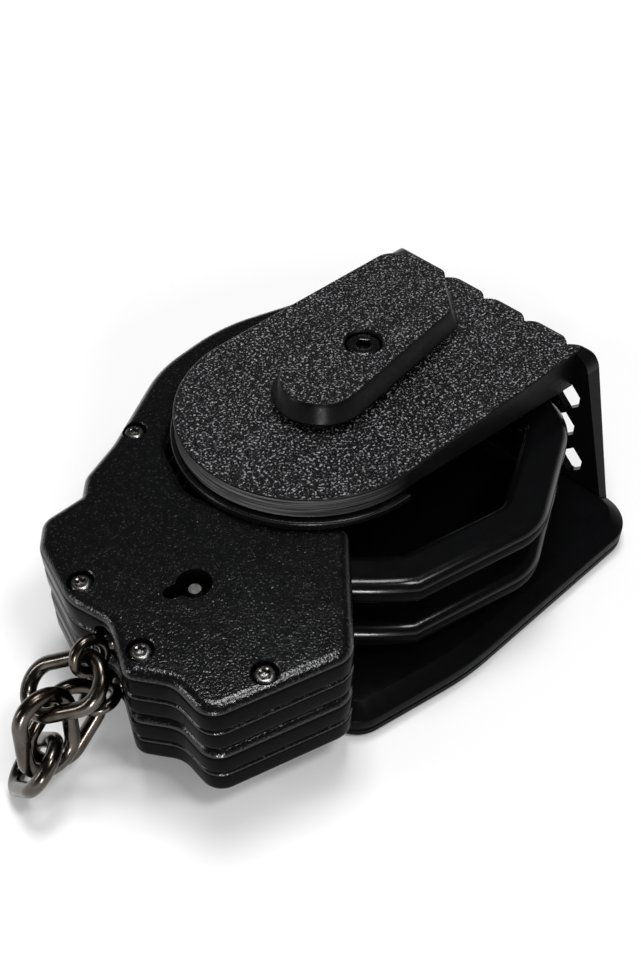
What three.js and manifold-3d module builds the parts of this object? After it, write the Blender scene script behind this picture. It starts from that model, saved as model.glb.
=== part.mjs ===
// A pair of black chain handcuffs, folded one on the other, in an open moulded belt case.
// Millimetres, +Z up. The origin is on the case's belt-side face, on the plate's middle line and level
// with the turn-button's screw.
// +X runs from the chain end to the bend of the case, +Y to the side of the double strands.
import * as THREE from 'three';
import { mergeVertices } from 'three/addons/utils/BufferGeometryUtils.js';
import Module from 'manifold-3d';

const wasm = await Module();
wasm.setup();

// Clearances
const RUN_GAP = 0.3; // between pieces that move past each other
const SCREW_GAP = 0.25; // round a screw's shank
const HEAD_GAP = 0.4; // round a screw's or rivet's head

// Case: heights are stacked from the belt-side face
const BELT_PLATE_T = 2.4;
const BASE_T = 4.8;
const BASE_BEVEL = 3.3;
const BASE_BEVEL_RISE = 2.2;
const BASE_FAR = 37.4; // to the base's edge beyond the bend
const BASE_NEAR = 47.6; // to the base's edge at the chain end
const BASE_RIGHT = 49.2;
const BASE_LEFT = 42;
const BASE_TAPER = 5.2; // how far the base narrows on each side at the chain end
const LINER_T = 1.9;
const LINER_NECK_T = 0.6;
const LINER_R = 28;
const LINER_NECK_INSET = 3;
const PLATE_T = 4.5;
const PLATE_HALF_W = 27;
const ROUND_END_X = -16.5; // centre of the plate's round end
const PLATE_FAR_X = 36.2;
const CUSP_X = 36;
const LOBE_W = 11.4;
const LOBE_DEPTH = 2.7;
const LOBES = 5;
const LOBE_SHIFT = -6.7;
const BEND_R = 1.4;
const BACK_INSIDE_X = 34.8;
const BACK_LOW_X = 37.2; // the back leans in from the lobes' crests to here at its foot
const BACK_TOP_RIGHT = 29.8;
const BACK_TOP_LEFT = 26.8;
const BACK_LOW_HALF_W = 39.2;
const BACK_SHOULDER_R = 5;
const BACK_WEB_T = 1.8; // behind the lattice, which is hollowed from the outside
const BACK_POST_W = 2.4;
const GUSSET_T = 2.1;
const GUSSET_DROP = 4.7;
const GUSSET_START_X = -12;
const CELL_W = 5.4;
const CELL_H = 7.2;
const CELLS = 7;
const CELL_ROWS = [[12.1, 31], [20.3, 27.4], [28.3, 27.4]]; // height, and outermost cell's centre

// Turn-button
const BUTTON_Y = 1.2; // the screw's, from the plate's middle line
const BUTTON_TURN = 8.6; // degrees from the case's long axis
const BUTTON_HALF_W = 10.2;
const BUTTON_NEAR = 24.3;
const BUTTON_FAR = 29.5;
const BUTTON_SHOULDER = 8.5;
const BUTTON_T = 4.3;
const BUTTON_FLARE = 2;
const SPACER_T = 1.4;
const SPACER_INSET = 2.4;
const BUTTON_SCREW_R = 2;
const BUTTON_HEAD_R = 3.5;
const BUTTON_HEAD_T = 2.4;
const BUTTON_HEAD_SINK = 0.5;
const WASHER_T = 0.5;
const WASHER_R = 3.5;
const NUT_R = 3.6;
const NUT_T = 2.6;

// Small case screws
const CASE_SCREW_R = 1.25;
const CASE_HEAD_R = 2.4;
const CASE_HEAD_T = 1.3;
const BELT_SCREW_X = 34;
const BELT_SCREW_Y = 30;

// Handcuff: its own frame has the bow's pivot on the Z axis and its underside at z = 0
const PIVOT_X = 18;
const PIVOT_Y = 20;
const CUFF_T = 12.4;
const SHELL_ROUND = 1.9;
const SHELL_GROOVE = 0.6;
const BOW_T = 5.6;
const BOW_W = 9.2;
const BOW_ROUND = 1.3;
const BOW_ARC_R = 72.6; // middle of the toothed stretch, from the pivot
const BOW_TIP_DEG = -158;
const BOW_ARC_END_DEG = -127.5;
const BOW_EYE_R = 9;
const TOOTH_PITCH_DEG = 1.35;
const TOOTH_DEPTH = 1.2;
const TEETH = 14;
const LOCK_FACE_DEG = -136.8; // the lock's flat end face starts on this ray from the pivot
const LOCK_CORNER = [-67.5, -66, 5];
const LOCK_WALL = 3;
const SLOT_END_DEG = -185;
const BOSS_R = 11.4;
const RIVET_R = 2.8;
const RIVET_HEAD_R = 4.4;
const RIVET_HEAD_T = 1.2;
const RIVET_SINK = 0.25;
const KEYHOLE_R = 3.35;
const KEY_SLOT_R = 1.5;
const KEY_POST_R = 1.2;
const KEY_POST_SINK = 2.4; // into the lower shell, below the lock's pockets
const CUFF_SCREW_R = 1.1;
const CUFF_HEAD_R = 2.1;
const CUFF_HEAD_T = 1.6;
const CUFF_HEAD_SINK = 0.45;
const CUFF_SCREW_LENGTH = 7.6;
const PAWL_T = 2.8;
const PAWL_H = 4;
const PAWL_PIN_R = 1;
const PAWL_EYE_R = 2.2;
const PAWL_HINGE_DEG = -147;
const PAWL_TIP_DEG = -166;
const PAWL_POCKET_R = 86;
const LOCK_BAR_LENGTH = 12;
const LOCK_BAR_W = 3;
const LOCK_BAR_H = 3.2;
const LOCK_BAR_TRAVEL = 1.2;

// Swivel and chain
const SWIVEL_Y = -30.8;
const SWIVEL_NECK_R = 1.9;
const SWIVEL_HEAD_R = 3.4;
const SWIVEL_HEAD_T = 2.5;
const SWIVEL_HEAD_X = -87;
const SWIVEL_EYE_X = -97.8;
const SWIVEL_EYE_R = 3.1;
const SWIVEL_WIRE_R = 1.1;
const LINK_LENGTH = 19;
const LINK_WIDTH = 12.5;
const LINK_WIRE_R = 1.5;
const SWIVEL_TURNS = [74, 163]; // degrees about X, of the upper and the lower cuff's
const LINKS = [ // centre, and degrees about X, then Y, then Z, from the upper cuff's link to the lower's
  { at: [-85.4, -10.0, 22.3], turn: [24, -26, -51] },
  { at: [-91.4, -11.3, 15.2], turn: [-140, -75, 48] },
  { at: [-94.7, -10.3, 7.6], turn: [152, 46, 93] },
  { at: [-87.0, -9.4, 11.4], turn: [-62, 41, -178] },
];

// Outlines, as corners [x, y, radius] counter-clockwise, in the handcuff's own frame
const polar = (r, deg) => [r * Math.cos((deg * Math.PI) / 180), r * Math.sin((deg * Math.PI) / 180)];
const CUFF_SCREWS = [[-59.7, 5.2], [-91.3, -20.3], [-93, -39.9], [-81, -58.1]];
const KEYHOLE = [-77.1, -35];
const KEY_SLOT_END = [-81.4, -33.8];
const LOCK_BAR_AT = [-82, -47];
const LOCK_SIDE = [
  [-65, 5.6, 20],
  [-74.8, 1.6, 5],
  [-78.4, -2.3, 1.5],
  [-87.6, -2.6, 4],
  [-91.7, -7.5, 5],
  [-95.6, -22, 10],
  [-93.2, -31, 5],
  [-98.4, -42, 3.2],
  [-93.4, -49, 6],
  [-93.9, -58.2, 4.5],
];
const STRAND_INSIDE = [[-63, -16, 10], [-58.5, -3, 8], [-45, 5.5, 20], [-28, 11, 30], [-15, 8.5, 6]];
const STRAND_OUTSIDE = [[-6, 15.5, 30], [-24, 20.6, 40], [-43.5, 18.2, 30]];
const BOW_CORNERS = [[-18.3, -63.1, 10], [9.6, -48.4, 12], [9.4, -22, 14], [0, 0, 0]];

// Heights that follow
const BASE_TOP = BELT_PLATE_T + BASE_T;
const LOWER_CUFF_Z = BASE_TOP + RUN_GAP;
const UPPER_CUFF_Z = LOWER_CUFF_Z + CUFF_T + RUN_GAP;
const LINER_Z = UPPER_CUFF_Z + CUFF_T + RUN_GAP;
const PLATE_Z = LINER_Z + LINER_T + LINER_NECK_T;
const PLATE_TOP = PLATE_Z + PLATE_T;
const SPACER_Z = PLATE_TOP + RUN_GAP;
const BUTTON_Z = SPACER_Z + SPACER_T;
const BUTTON_TOP = BUTTON_Z + BUTTON_T;
const MID = CUFF_T / 2;
const BOW_Z = MID - BOW_T / 2;
const BOW_OUT_R = BOW_ARC_R + BOW_W / 2;
const BOW_IN_R = BOW_ARC_R - BOW_W / 2;

// Colours
const BLACK_GRAIN = { color: 0x17181b, roughness: 0.62, metalness: 0.0 };
const BLACK_SMOOTH = { color: 0x101114, roughness: 0.42, metalness: 0.0 };
const BLACK_COAT = { color: 0x141416, roughness: 0.38, metalness: 0.25 };
const STEEL = { color: 0xb9b4ac, roughness: 0.28, metalness: 1.0 };

const ARC_SAG = 0.12; // how far an arc's chord may lie from it
const EDGE_STEPS = 2;
const ROUND_SIDES = 16;
const PAST = 1; // how far a cutter runs past the face it opens

// Points along corners [x, y, radius], each corner rounded by an arc that its sides leave room for.
function rounded(corners, closed) {
  const points = [];
  const count = corners.length;
  corners.forEach(([x, y, radius], i) => {
    const here = new THREE.Vector2(x, y);
    if (!radius || (!closed && (i === 0 || i === count - 1))) {
      points.push(here);
      return;
    }
    const before = new THREE.Vector2(...corners[(i + count - 1) % count]).sub(here);
    const after = new THREE.Vector2(...corners[(i + 1) % count]).sub(here);
    const room = Math.min(before.length(), after.length()) / 2;
    before.normalize();
    after.normalize();
    const half = Math.acos(THREE.MathUtils.clamp(before.dot(after), -1, 1)) / 2;
    const reach = Math.min(radius / Math.tan(half), room);
    const r = reach * Math.tan(half);
    const centre = before.clone().add(after).normalize().multiplyScalar(r / Math.sin(half)).add(here);
    const from = here.clone().addScaledVector(before, reach).sub(centre);
    const turn = Math.sign(before.cross(after)) * -(Math.PI - 2 * half);
    const chord = 2 * Math.acos(1 - Math.min(ARC_SAG / r, 0.1));
    const steps = Math.max(1, Math.ceil(Math.abs(turn) / chord));
    for (let k = 0; k <= steps; k += 1) {
      points.push(from.clone().rotateAround(new THREE.Vector2(), (turn * k) / steps).add(centre));
    }
  });
  return points.filter((point, i) => {
    const before = points[(i + points.length - 1) % points.length];
    return (i === 0 && !closed) || point.distanceTo(before) > 1e-3;
  });
}

// Each point of an outline moved outwards by a distance, square to its two sides.
function grown(points, distance, closed = true) {
  const count = points.length;
  return points.map((point, i) => {
    const before = points[closed ? (i + count - 1) % count : Math.max(i - 1, 0)];
    const after = points[closed ? (i + 1) % count : Math.min(i + 1, count - 1)];
    const sides = [[before, point], [point, after]].filter(([a, b]) => a.distanceTo(b) > 0);
    const normals = sides.map(([a, b]) => new THREE.Vector2(b.y - a.y, a.x - b.x).normalize());
    const first = normals[0];
    const last = normals[normals.length - 1];
    const mitre = first.clone().add(last).divideScalar(1 + first.dot(last));
    return point.clone().addScaledVector(mitre, distance);
  });
}

// The closed outline of a strip of constant width along an open path.
function strip(path, width) {
  return [...grown(path, width / 2, false), ...grown(path, -width / 2, false).reverse()];
}

// A solid whose outline is drawn in by profile [[inset, z], ...], from the bottom to the top.
function slab(points, profile) {
  const count = points.length;
  const rings = profile.map(([inset, z]) => grown(points, -inset).map((p) => [p.x, p.y, z]));
  const index = [];
  for (let k = 0; k < rings.length - 1; k += 1) {
    for (let i = 0; i < count; i += 1) {
      const a = k * count + i;
      const b = k * count + ((i + 1) % count);
      index.push(a, b, b + count, a, b + count, a + count);
    }
  }
  const capOf = (ring) => THREE.ShapeUtils.triangulateShape(ring.map(([x, y]) => new THREE.Vector2(x, y)), []);
  const top = (rings.length - 1) * count;
  capOf(rings[0]).forEach(([a, b, c]) => index.push(a, c, b));
  capOf(rings[rings.length - 1]).forEach(([a, b, c]) => index.push(top + a, top + b, top + c));
  const geometry = new THREE.BufferGeometry();
  geometry.setAttribute('position', new THREE.Float32BufferAttribute(rings.flat(2), 3));
  geometry.setIndex(index);
  return geometry;
}

// A slab's profile from z0 to z1 with quarter rounds of radius low and high.
function roundEdges(z0, z1, low, high) {
  const profile = [];
  for (let k = 0; k <= EDGE_STEPS; k += 1) {
    const a = (Math.PI / 2) * (k / EDGE_STEPS);
    if (low > 0) profile.push([low * (1 - Math.sin(a)), z0 + low * (1 - Math.cos(a))]);
  }
  if (low === 0) profile.push([0, z0]);
  if (high === 0) profile.push([0, z1]);
  for (let k = 0; k <= EDGE_STEPS; k += 1) {
    const a = (Math.PI / 2) * (k / EDGE_STEPS);
    if (high > 0) profile.push([high * (1 - Math.cos(a)), z1 - high * (1 - Math.sin(a))]);
  }
  return profile;
}

// three.js geometry to a solid that can be joined and cut, and back.
function solid(geometry) {
  const bare = geometry.clone();
  bare.deleteAttribute('normal');
  bare.deleteAttribute('uv');
  const merged = mergeVertices(bare, 1e-4);
  const vertProperties = merged.attributes.position.array;
  const triVerts = new Uint32Array(merged.index.array);
  return new wasm.Manifold(new wasm.Mesh({ numProp: 3, vertProperties, triVerts }));
}

function geometryOf(made) {
  const mesh = made.getMesh();
  const geometry = new THREE.BufferGeometry();
  geometry.setAttribute('position', new THREE.BufferAttribute(mesh.vertProperties, 3));
  geometry.setIndex(new THREE.BufferAttribute(mesh.triVerts, 1));
  const faceted = geometry.toNonIndexed();
  faceted.computeVertexNormals();
  return faceted;
}

const cut = (body, ...tools) => tools.reduce((left, tool) => left.subtract(tool), body);
const join = (body, ...others) => others.reduce((whole, other) => whole.add(other), body);
const prism = (points, z0, z1) => solid(slab(points, [[0, z0], [0, z1]]));

// A prism along Y of an outline drawn in (x, z), and one along X of an outline drawn in (y, z).
function prismY(points, y0, y1) {
  return solid(slab(points, [[0, -y1], [0, -y0]]).rotateX(Math.PI / 2));
}

function prismX(points, x0, x1) {
  const turn = new THREE.Matrix4().makeBasis(
    new THREE.Vector3(0, 1, 0),
    new THREE.Vector3(0, 0, 1),
    new THREE.Vector3(1, 0, 0),
  );
  return solid(slab(points, [[0, x0], [0, x1]]).applyMatrix4(turn));
}

// A disc or pin on a vertical axis, and one on an axis along X.
function circle(r, x = 0, y = 0, sides = ROUND_SIDES) {
  return Array.from({ length: sides }, (_, i) => {
    const a = (2 * Math.PI * i) / sides;
    return new THREE.Vector2(x + r * Math.cos(a), y + r * Math.sin(a));
  });
}
const pin = (x, y, r, z0, z1, sides = ROUND_SIDES) => prism(circle(r, x, y, sides), z0, z1);
const pinX = (y, z, r, x0, x1, sides = ROUND_SIDES) => prismX(circle(r, y, z, sides), x0, x1);

// A solid of revolution on the Z axis from its half outline [[radius, z], ...], bottom to top.
function turned(profile) {
  const points = profile.map(([r, z]) => new THREE.Vector2(r, z));
  return solid(new THREE.LatheGeometry(points, ROUND_SIDES).rotateX(Math.PI / 2));
}

// A sector of a ring round the Z axis.
function sector(r0, r1, deg0, deg1, z0, z1) {
  const steps = Math.max(2, Math.ceil(Math.abs(deg1 - deg0) / 5));
  const at = (r, k) => new THREE.Vector2(...polar(r, deg0 + ((deg1 - deg0) * k) / steps));
  const outer = Array.from({ length: steps + 1 }, (_, k) => at(r1, k));
  const inner = Array.from({ length: steps + 1 }, (_, k) => at(r0, k));
  const points = [...outer, ...inner.reverse()];
  return prism(deg1 > deg0 ? points : points.reverse(), z0, z1);
}

// A wire of round section round a closed flat path in the XY plane.
function wireRing(path, radius, sides = 10) {
  const rings = path.map((point, i) => {
    const before = path[(i + path.length - 1) % path.length];
    const after = path[(i + 1) % path.length];
    const out = new THREE.Vector2(after.y - before.y, before.x - after.x).normalize();
    return Array.from({ length: sides }, (_, k) => {
      const a = (2 * Math.PI * k) / sides;
      const reach = radius * Math.cos(a);
      return [point.x + out.x * reach, point.y + out.y * reach, radius * Math.sin(a)];
    });
  });
  const index = [];
  rings.forEach((_, i) => {
    for (let k = 0; k < sides; k += 1) {
      const a = i * sides + k;
      const b = i * sides + ((k + 1) % sides);
      const next = ((i + 1) % rings.length) * sides;
      index.push(a, next + k, next + ((k + 1) % sides), a, next + ((k + 1) % sides), b);
    }
  });
  const geometry = new THREE.BufferGeometry();
  geometry.setAttribute('position', new THREE.Float32BufferAttribute(rings.flat(2), 3));
  geometry.setIndex(index);
  return geometry;
}

// A star-shaped driver recess, and a hexagonal one.
const star = (r, x, y) => circle(r, x, y, 12).map((p, i) => {
  const centre = new THREE.Vector2(x, y);
  return i % 2 ? p.sub(centre).multiplyScalar(0.72).add(centre) : p;
});

const part = new THREE.Group();

function add(name, made, finish, parent = part) {
  const geometry = made.isBufferGeometry ? made : geometryOf(made);
  const mesh = new THREE.Mesh(geometry, new THREE.MeshStandardMaterial(finish));
  mesh.name = name;
  parent.add(mesh);
  return mesh;
}

// ---- Case ----

const beltScrewPlaces = [[-1, -1], [-1, 1], [1, -1], [1, 1]].map(([i, j]) => [i * BELT_SCREW_X, j * BELT_SCREW_Y]);

const baseOutline = rounded([
  [-BASE_NEAR, -BASE_RIGHT + BASE_TAPER, 7],
  [-20, -BASE_RIGHT, 60],
  [BASE_FAR, -BASE_RIGHT, 9],
  [BASE_FAR, BASE_LEFT, 9],
  [-20, BASE_LEFT, 60],
  [-BASE_NEAR, BASE_LEFT - BASE_TAPER, 7],
], true);

function makeBeltPlate() {
  const plate = solid(slab(baseOutline, [[0.8, 0], [0, 0.8], [0, BELT_PLATE_T - 0.3], [0.3, BELT_PLATE_T]]));
  const holes = beltScrewPlaces.flatMap(([x, y]) => [
    pin(x, y, CASE_SCREW_R + SCREW_GAP, -PAST, BELT_PLATE_T + PAST),
    pin(x, y, CASE_HEAD_R + HEAD_GAP, -PAST, CASE_HEAD_T + RUN_GAP),
  ]);
  return cut(plate, ...holes);
}

const baseProfile = [
  [0.3, BELT_PLATE_T],
  [0, BELT_PLATE_T + 0.3],
  [0, BASE_TOP - BASE_BEVEL_RISE],
  [BASE_BEVEL, BASE_TOP],
];

function makeBase() {
  const holes = beltScrewPlaces.map(([x, y]) => pin(x, y, CASE_SCREW_R + SCREW_GAP, 0, BASE_TOP - 1));
  return cut(solid(slab(baseOutline, baseProfile)), ...holes);
}

// A screw that stands head down: its head's outer face at z, its shank upwards.
function makeLowScrew(z, length) {
  return turned([
    [0, z],
    [CASE_HEAD_R, z],
    [CASE_HEAD_R, z + CASE_HEAD_T],
    [CASE_SCREW_R, z + CASE_HEAD_T],
    [CASE_SCREW_R, z + length],
    [0, z + length],
  ]);
}

// The back seen from above: a row of lobes between cusps, from the right side to the left. The two
// outermost lobes run on straight from their crests.
function lobedBack() {
  const radius = (LOBE_W * LOBE_W / 4 + LOBE_DEPTH * LOBE_DEPTH) / (2 * LOBE_DEPTH);
  const half = Math.asin(LOBE_W / 2 / radius);
  const steps = 6;
  const crest = CUSP_X + LOBE_DEPTH;
  const points = [
    new THREE.Vector2(BACK_INSIDE_X, -BACK_LOW_HALF_W - PAST),
    new THREE.Vector2(crest, -BACK_LOW_HALF_W - PAST),
  ];
  for (let lobe = 0; lobe < LOBES; lobe += 1) {
    const middle = (lobe - (LOBES - 1) / 2) * LOBE_W + LOBE_SHIFT;
    const first = lobe === 0 ? steps / 2 : 0;
    const last = lobe === LOBES - 1 ? steps / 2 : steps - 1;
    for (let k = first; k <= last; k += 1) {
      const a = -half + (2 * half * k) / steps;
      points.push(new THREE.Vector2(crest - radius + radius * Math.cos(a), middle + radius * Math.sin(a)));
    }
  }
  points.push(new THREE.Vector2(crest, BACK_LOW_HALF_W + PAST));
  points.push(new THREE.Vector2(BACK_INSIDE_X, BACK_LOW_HALF_W + PAST));
  return points;
}

// The back wall's outline seen along X, drawn in all round by an inset.
function backOutline(inset, low, high) {
  const widthAt = (z, top) => {
    const rise = (z - BASE_TOP) / (PLATE_TOP - BASE_TOP);
    return BACK_LOW_HALF_W + (top - BACK_LOW_HALF_W) * rise - inset;
  };
  return rounded([
    [-widthAt(low, BACK_TOP_RIGHT), low, 0],
    [widthAt(low, BACK_TOP_LEFT), low, 0],
    [widthAt(high, BACK_TOP_LEFT), high, BACK_SHOULDER_R],
    [-widthAt(high, BACK_TOP_RIGHT), high, BACK_SHOULDER_R],
  ], true);
}

function makeBackWall() {
  const foot = BASE_TOP - BASE_BEVEL_RISE;
  const crest = CUSP_X + LOBE_DEPTH;
  const side = rounded([
    [BACK_INSIDE_X - PAST, foot - PAST, 0],
    [BACK_LOW_X, foot - PAST, 0],
    [BACK_LOW_X, BASE_TOP, 0],
    [crest, PLATE_TOP - 2 * BEND_R, 0],
    [crest, PLATE_TOP, BEND_R],
    [BACK_INSIDE_X - PAST, PLATE_TOP, 0],
  ], true);
  const wall = prismX(backOutline(0, foot, PLATE_TOP), BACK_INSIDE_X, crest)
    .intersect(prism(lobedBack(), 0, PLATE_TOP))
    .intersect(prismY(side, -BACK_LOW_HALF_W - PAST, BACK_LOW_HALF_W + PAST));
  const hollow = prismX(
    backOutline(BACK_POST_W, BASE_TOP + 1, PLATE_Z - 1),
    BACK_INSIDE_X + BACK_WEB_T,
    crest + PAST,
  );
  return cut(wall, hollow, ...latticeCells(), solid(slab(baseOutline, baseProfile)));
}

function latticeCells() {
  return CELL_ROWS.flatMap(([z, reach]) => Array.from({ length: CELLS }, (_, i) => {
    const y = reach * ((2 * i) / (CELLS - 1) - 1);
    return prismX(rounded([
      [y, z - CELL_H / 2, 0],
      [y + CELL_W / 2, z - CELL_H / 6, 0],
      [y + CELL_W / 2, z + CELL_H / 6, 0],
      [y, z + CELL_H / 2, 0],
      [y - CELL_W / 2, z + CELL_H / 6, 0],
      [y - CELL_W / 2, z - CELL_H / 6, 0],
    ], true), BACK_INSIDE_X - PAST, CUSP_X + LOBE_DEPTH + PAST);
  }));
}

// A web under the plate's edge that deepens towards the back wall.
function gusset(lowZ, y0) {
  return prismY(rounded([
    [GUSSET_START_X, PLATE_Z, 0],
    [BACK_INSIDE_X + BACK_WEB_T / 2, lowZ, 0],
    [BACK_INSIDE_X + BACK_WEB_T / 2, PLATE_Z + PLATE_T / 2, 0],
    [GUSSET_START_X, PLATE_Z + PLATE_T / 2, 0],
  ], true), y0, y0 + GUSSET_T);
}

function makeFrontShell() {
  const nearX = ROUND_END_X - PLATE_HALF_W;
  const plan = rounded([
    [nearX, -PLATE_HALF_W, PLATE_HALF_W],
    [PLATE_FAR_X, -PLATE_HALF_W, 0],
    [PLATE_FAR_X, PLATE_HALF_W, 0],
    [nearX, PLATE_HALF_W, PLATE_HALF_W],
  ], true);
  const whole = join(
    prism(plan, PLATE_Z, PLATE_TOP),
    makeBackWall(),
    gusset(PLATE_Z - GUSSET_DROP, -PLATE_HALF_W),
    gusset(LINER_Z, PLATE_HALF_W - GUSSET_T),
  );
  const nutPocket = pin(0, BUTTON_Y, NUT_R + RUN_GAP, 0, PLATE_Z + NUT_T + RUN_GAP);
  const screwHole = pin(0, BUTTON_Y, BUTTON_SCREW_R + SCREW_GAP, 0, PLATE_TOP + PAST);
  return cut(whole, nutPocket, screwHole);
}

function makeLiner() {
  const tailHalf = PLATE_HALF_W - GUSSET_T - RUN_GAP;
  const disc = circle(LINER_R, ROUND_END_X, 0, 2 * ROUND_SIDES).filter((p) => p.x <= ROUND_END_X + 0.01);
  const tail = [
    new THREE.Vector2(ROUND_END_X + 0.01, -tailHalf),
    new THREE.Vector2(BACK_INSIDE_X - 6, -tailHalf),
    new THREE.Vector2(BACK_INSIDE_X - 6, tailHalf),
    new THREE.Vector2(ROUND_END_X + 0.01, tailHalf),
  ];
  const low = LINER_Z;
  const high = LINER_Z + LINER_T;
  const profile = [
    [0.4, low],
    [0, low + 0.4],
    [0, high - 0.4],
    [0.4, high],
    [LINER_NECK_INSET, high],
    [LINER_NECK_INSET, PLATE_Z],
  ];
  return cut(solid(slab([...disc, ...tail], profile)), pin(0, BUTTON_Y, BUTTON_SCREW_R + 1, 0, PLATE_TOP));
}

add('belt_plate', makeBeltPlate(), BLACK_SMOOTH);
add('base_shell', makeBase(), BLACK_SMOOTH);
add('front_shell', makeFrontShell(), BLACK_GRAIN);
add('grip_liner', makeLiner(), BLACK_SMOOTH);
beltScrewPlaces.forEach(([x, y], i) => {
  add(`belt_screw_${i + 1}`, makeLowScrew(RUN_GAP, BASE_TOP - 2 * RUN_GAP - 1), STEEL).position.set(x, y, 0);
});

// ---- Turn-button ----

const button = new THREE.Group();
button.position.y = BUTTON_Y;
button.rotation.z = THREE.MathUtils.degToRad(BUTTON_TURN);
part.add(button);

const buttonOutline = rounded([
  [-BUTTON_NEAR, -BUTTON_HALF_W, BUTTON_HALF_W],
  [BUTTON_FAR - BUTTON_SHOULDER, -BUTTON_HALF_W, 4],
  [BUTTON_FAR, -BUTTON_HALF_W / 4, 3],
  [BUTTON_FAR, BUTTON_HALF_W / 4, 3],
  [BUTTON_FAR - BUTTON_SHOULDER, BUTTON_HALF_W, 4],
  [-BUTTON_NEAR, BUTTON_HALF_W, BUTTON_HALF_W],
], true);

function makeButtonCap() {
  const profile = [
    [0.5, BUTTON_Z],
    [0, BUTTON_Z + 0.5],
    [BUTTON_FLARE * 0.8, BUTTON_TOP - 0.7],
    [BUTTON_FLARE, BUTTON_TOP],
  ];
  return cut(
    solid(slab(buttonOutline, profile)),
    pin(0, 0, BUTTON_HEAD_R + HEAD_GAP, BUTTON_TOP - BUTTON_HEAD_SINK - BUTTON_HEAD_T - WASHER_T, BUTTON_TOP + PAST),
    pin(0, 0, BUTTON_SCREW_R + SCREW_GAP, 0, BUTTON_TOP),
  );
}

function makeSpacer() {
  return cut(
    solid(slab(buttonOutline, [[SPACER_INSET, SPACER_Z], [SPACER_INSET, BUTTON_Z]])),
    pin(0, 0, BUTTON_SCREW_R + SCREW_GAP, 0, BUTTON_TOP),
  );
}

function makeButtonScrew() {
  const top = BUTTON_TOP - BUTTON_HEAD_SINK;
  const end = PLATE_Z + RUN_GAP;
  const body = turned([
    [0, end],
    [BUTTON_SCREW_R, end],
    [BUTTON_SCREW_R, top - BUTTON_HEAD_T],
    [BUTTON_HEAD_R, top - BUTTON_HEAD_T],
    [BUTTON_HEAD_R, top - 0.3],
    [BUTTON_HEAD_R - 0.3, top],
    [0, top],
  ]);
  return cut(body, pin(0, 0, BUTTON_HEAD_R * 0.5, top - BUTTON_HEAD_T * 0.7, top + PAST, 6));
}

function makeWasher() {
  const low = BUTTON_TOP - BUTTON_HEAD_SINK - BUTTON_HEAD_T - WASHER_T;
  return cut(
    pin(0, 0, WASHER_R, low, low + WASHER_T),
    pin(0, 0, BUTTON_SCREW_R + SCREW_GAP, 0, BUTTON_TOP),
  );
}

function makeNut() {
  return cut(
    pin(0, 0, NUT_R, PLATE_Z, PLATE_Z + NUT_T, 6),
    pin(0, 0, BUTTON_SCREW_R + SCREW_GAP, 0, BUTTON_TOP),
  );
}

add('button_cap', makeButtonCap(), BLACK_GRAIN, button);
add('button_spacer', makeSpacer(), BLACK_SMOOTH, button);
add('button_screw', makeButtonScrew(), BLACK_COAT, button);
add('button_washer', makeWasher(), BLACK_COAT, button);
add('insert_nut', makeNut(), STEEL).position.y = BUTTON_Y;

// ---- Handcuff ----

// Outline of both shells: the lock body with the double strand that runs on to the pivot.
function shellOutline() {
  const inner = BOW_IN_R - RUN_GAP - LOCK_WALL;
  const innerArc = [0, 1, 2, 3, 4].map((k) => [...polar(inner, LOCK_FACE_DEG - 6 * k), k === 0 ? 2.4 : 0]);
  return rounded([
    LOCK_CORNER,
    ...innerArc,
    ...STRAND_INSIDE,
    [-BOSS_R, -BOSS_R, BOSS_R - 0.1],
    [BOSS_R, -BOSS_R, BOSS_R - 0.1],
    [BOSS_R, BOSS_R, BOSS_R - 0.1],
    ...STRAND_OUTSIDE,
    ...LOCK_SIDE,
  ], true);
}

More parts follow.
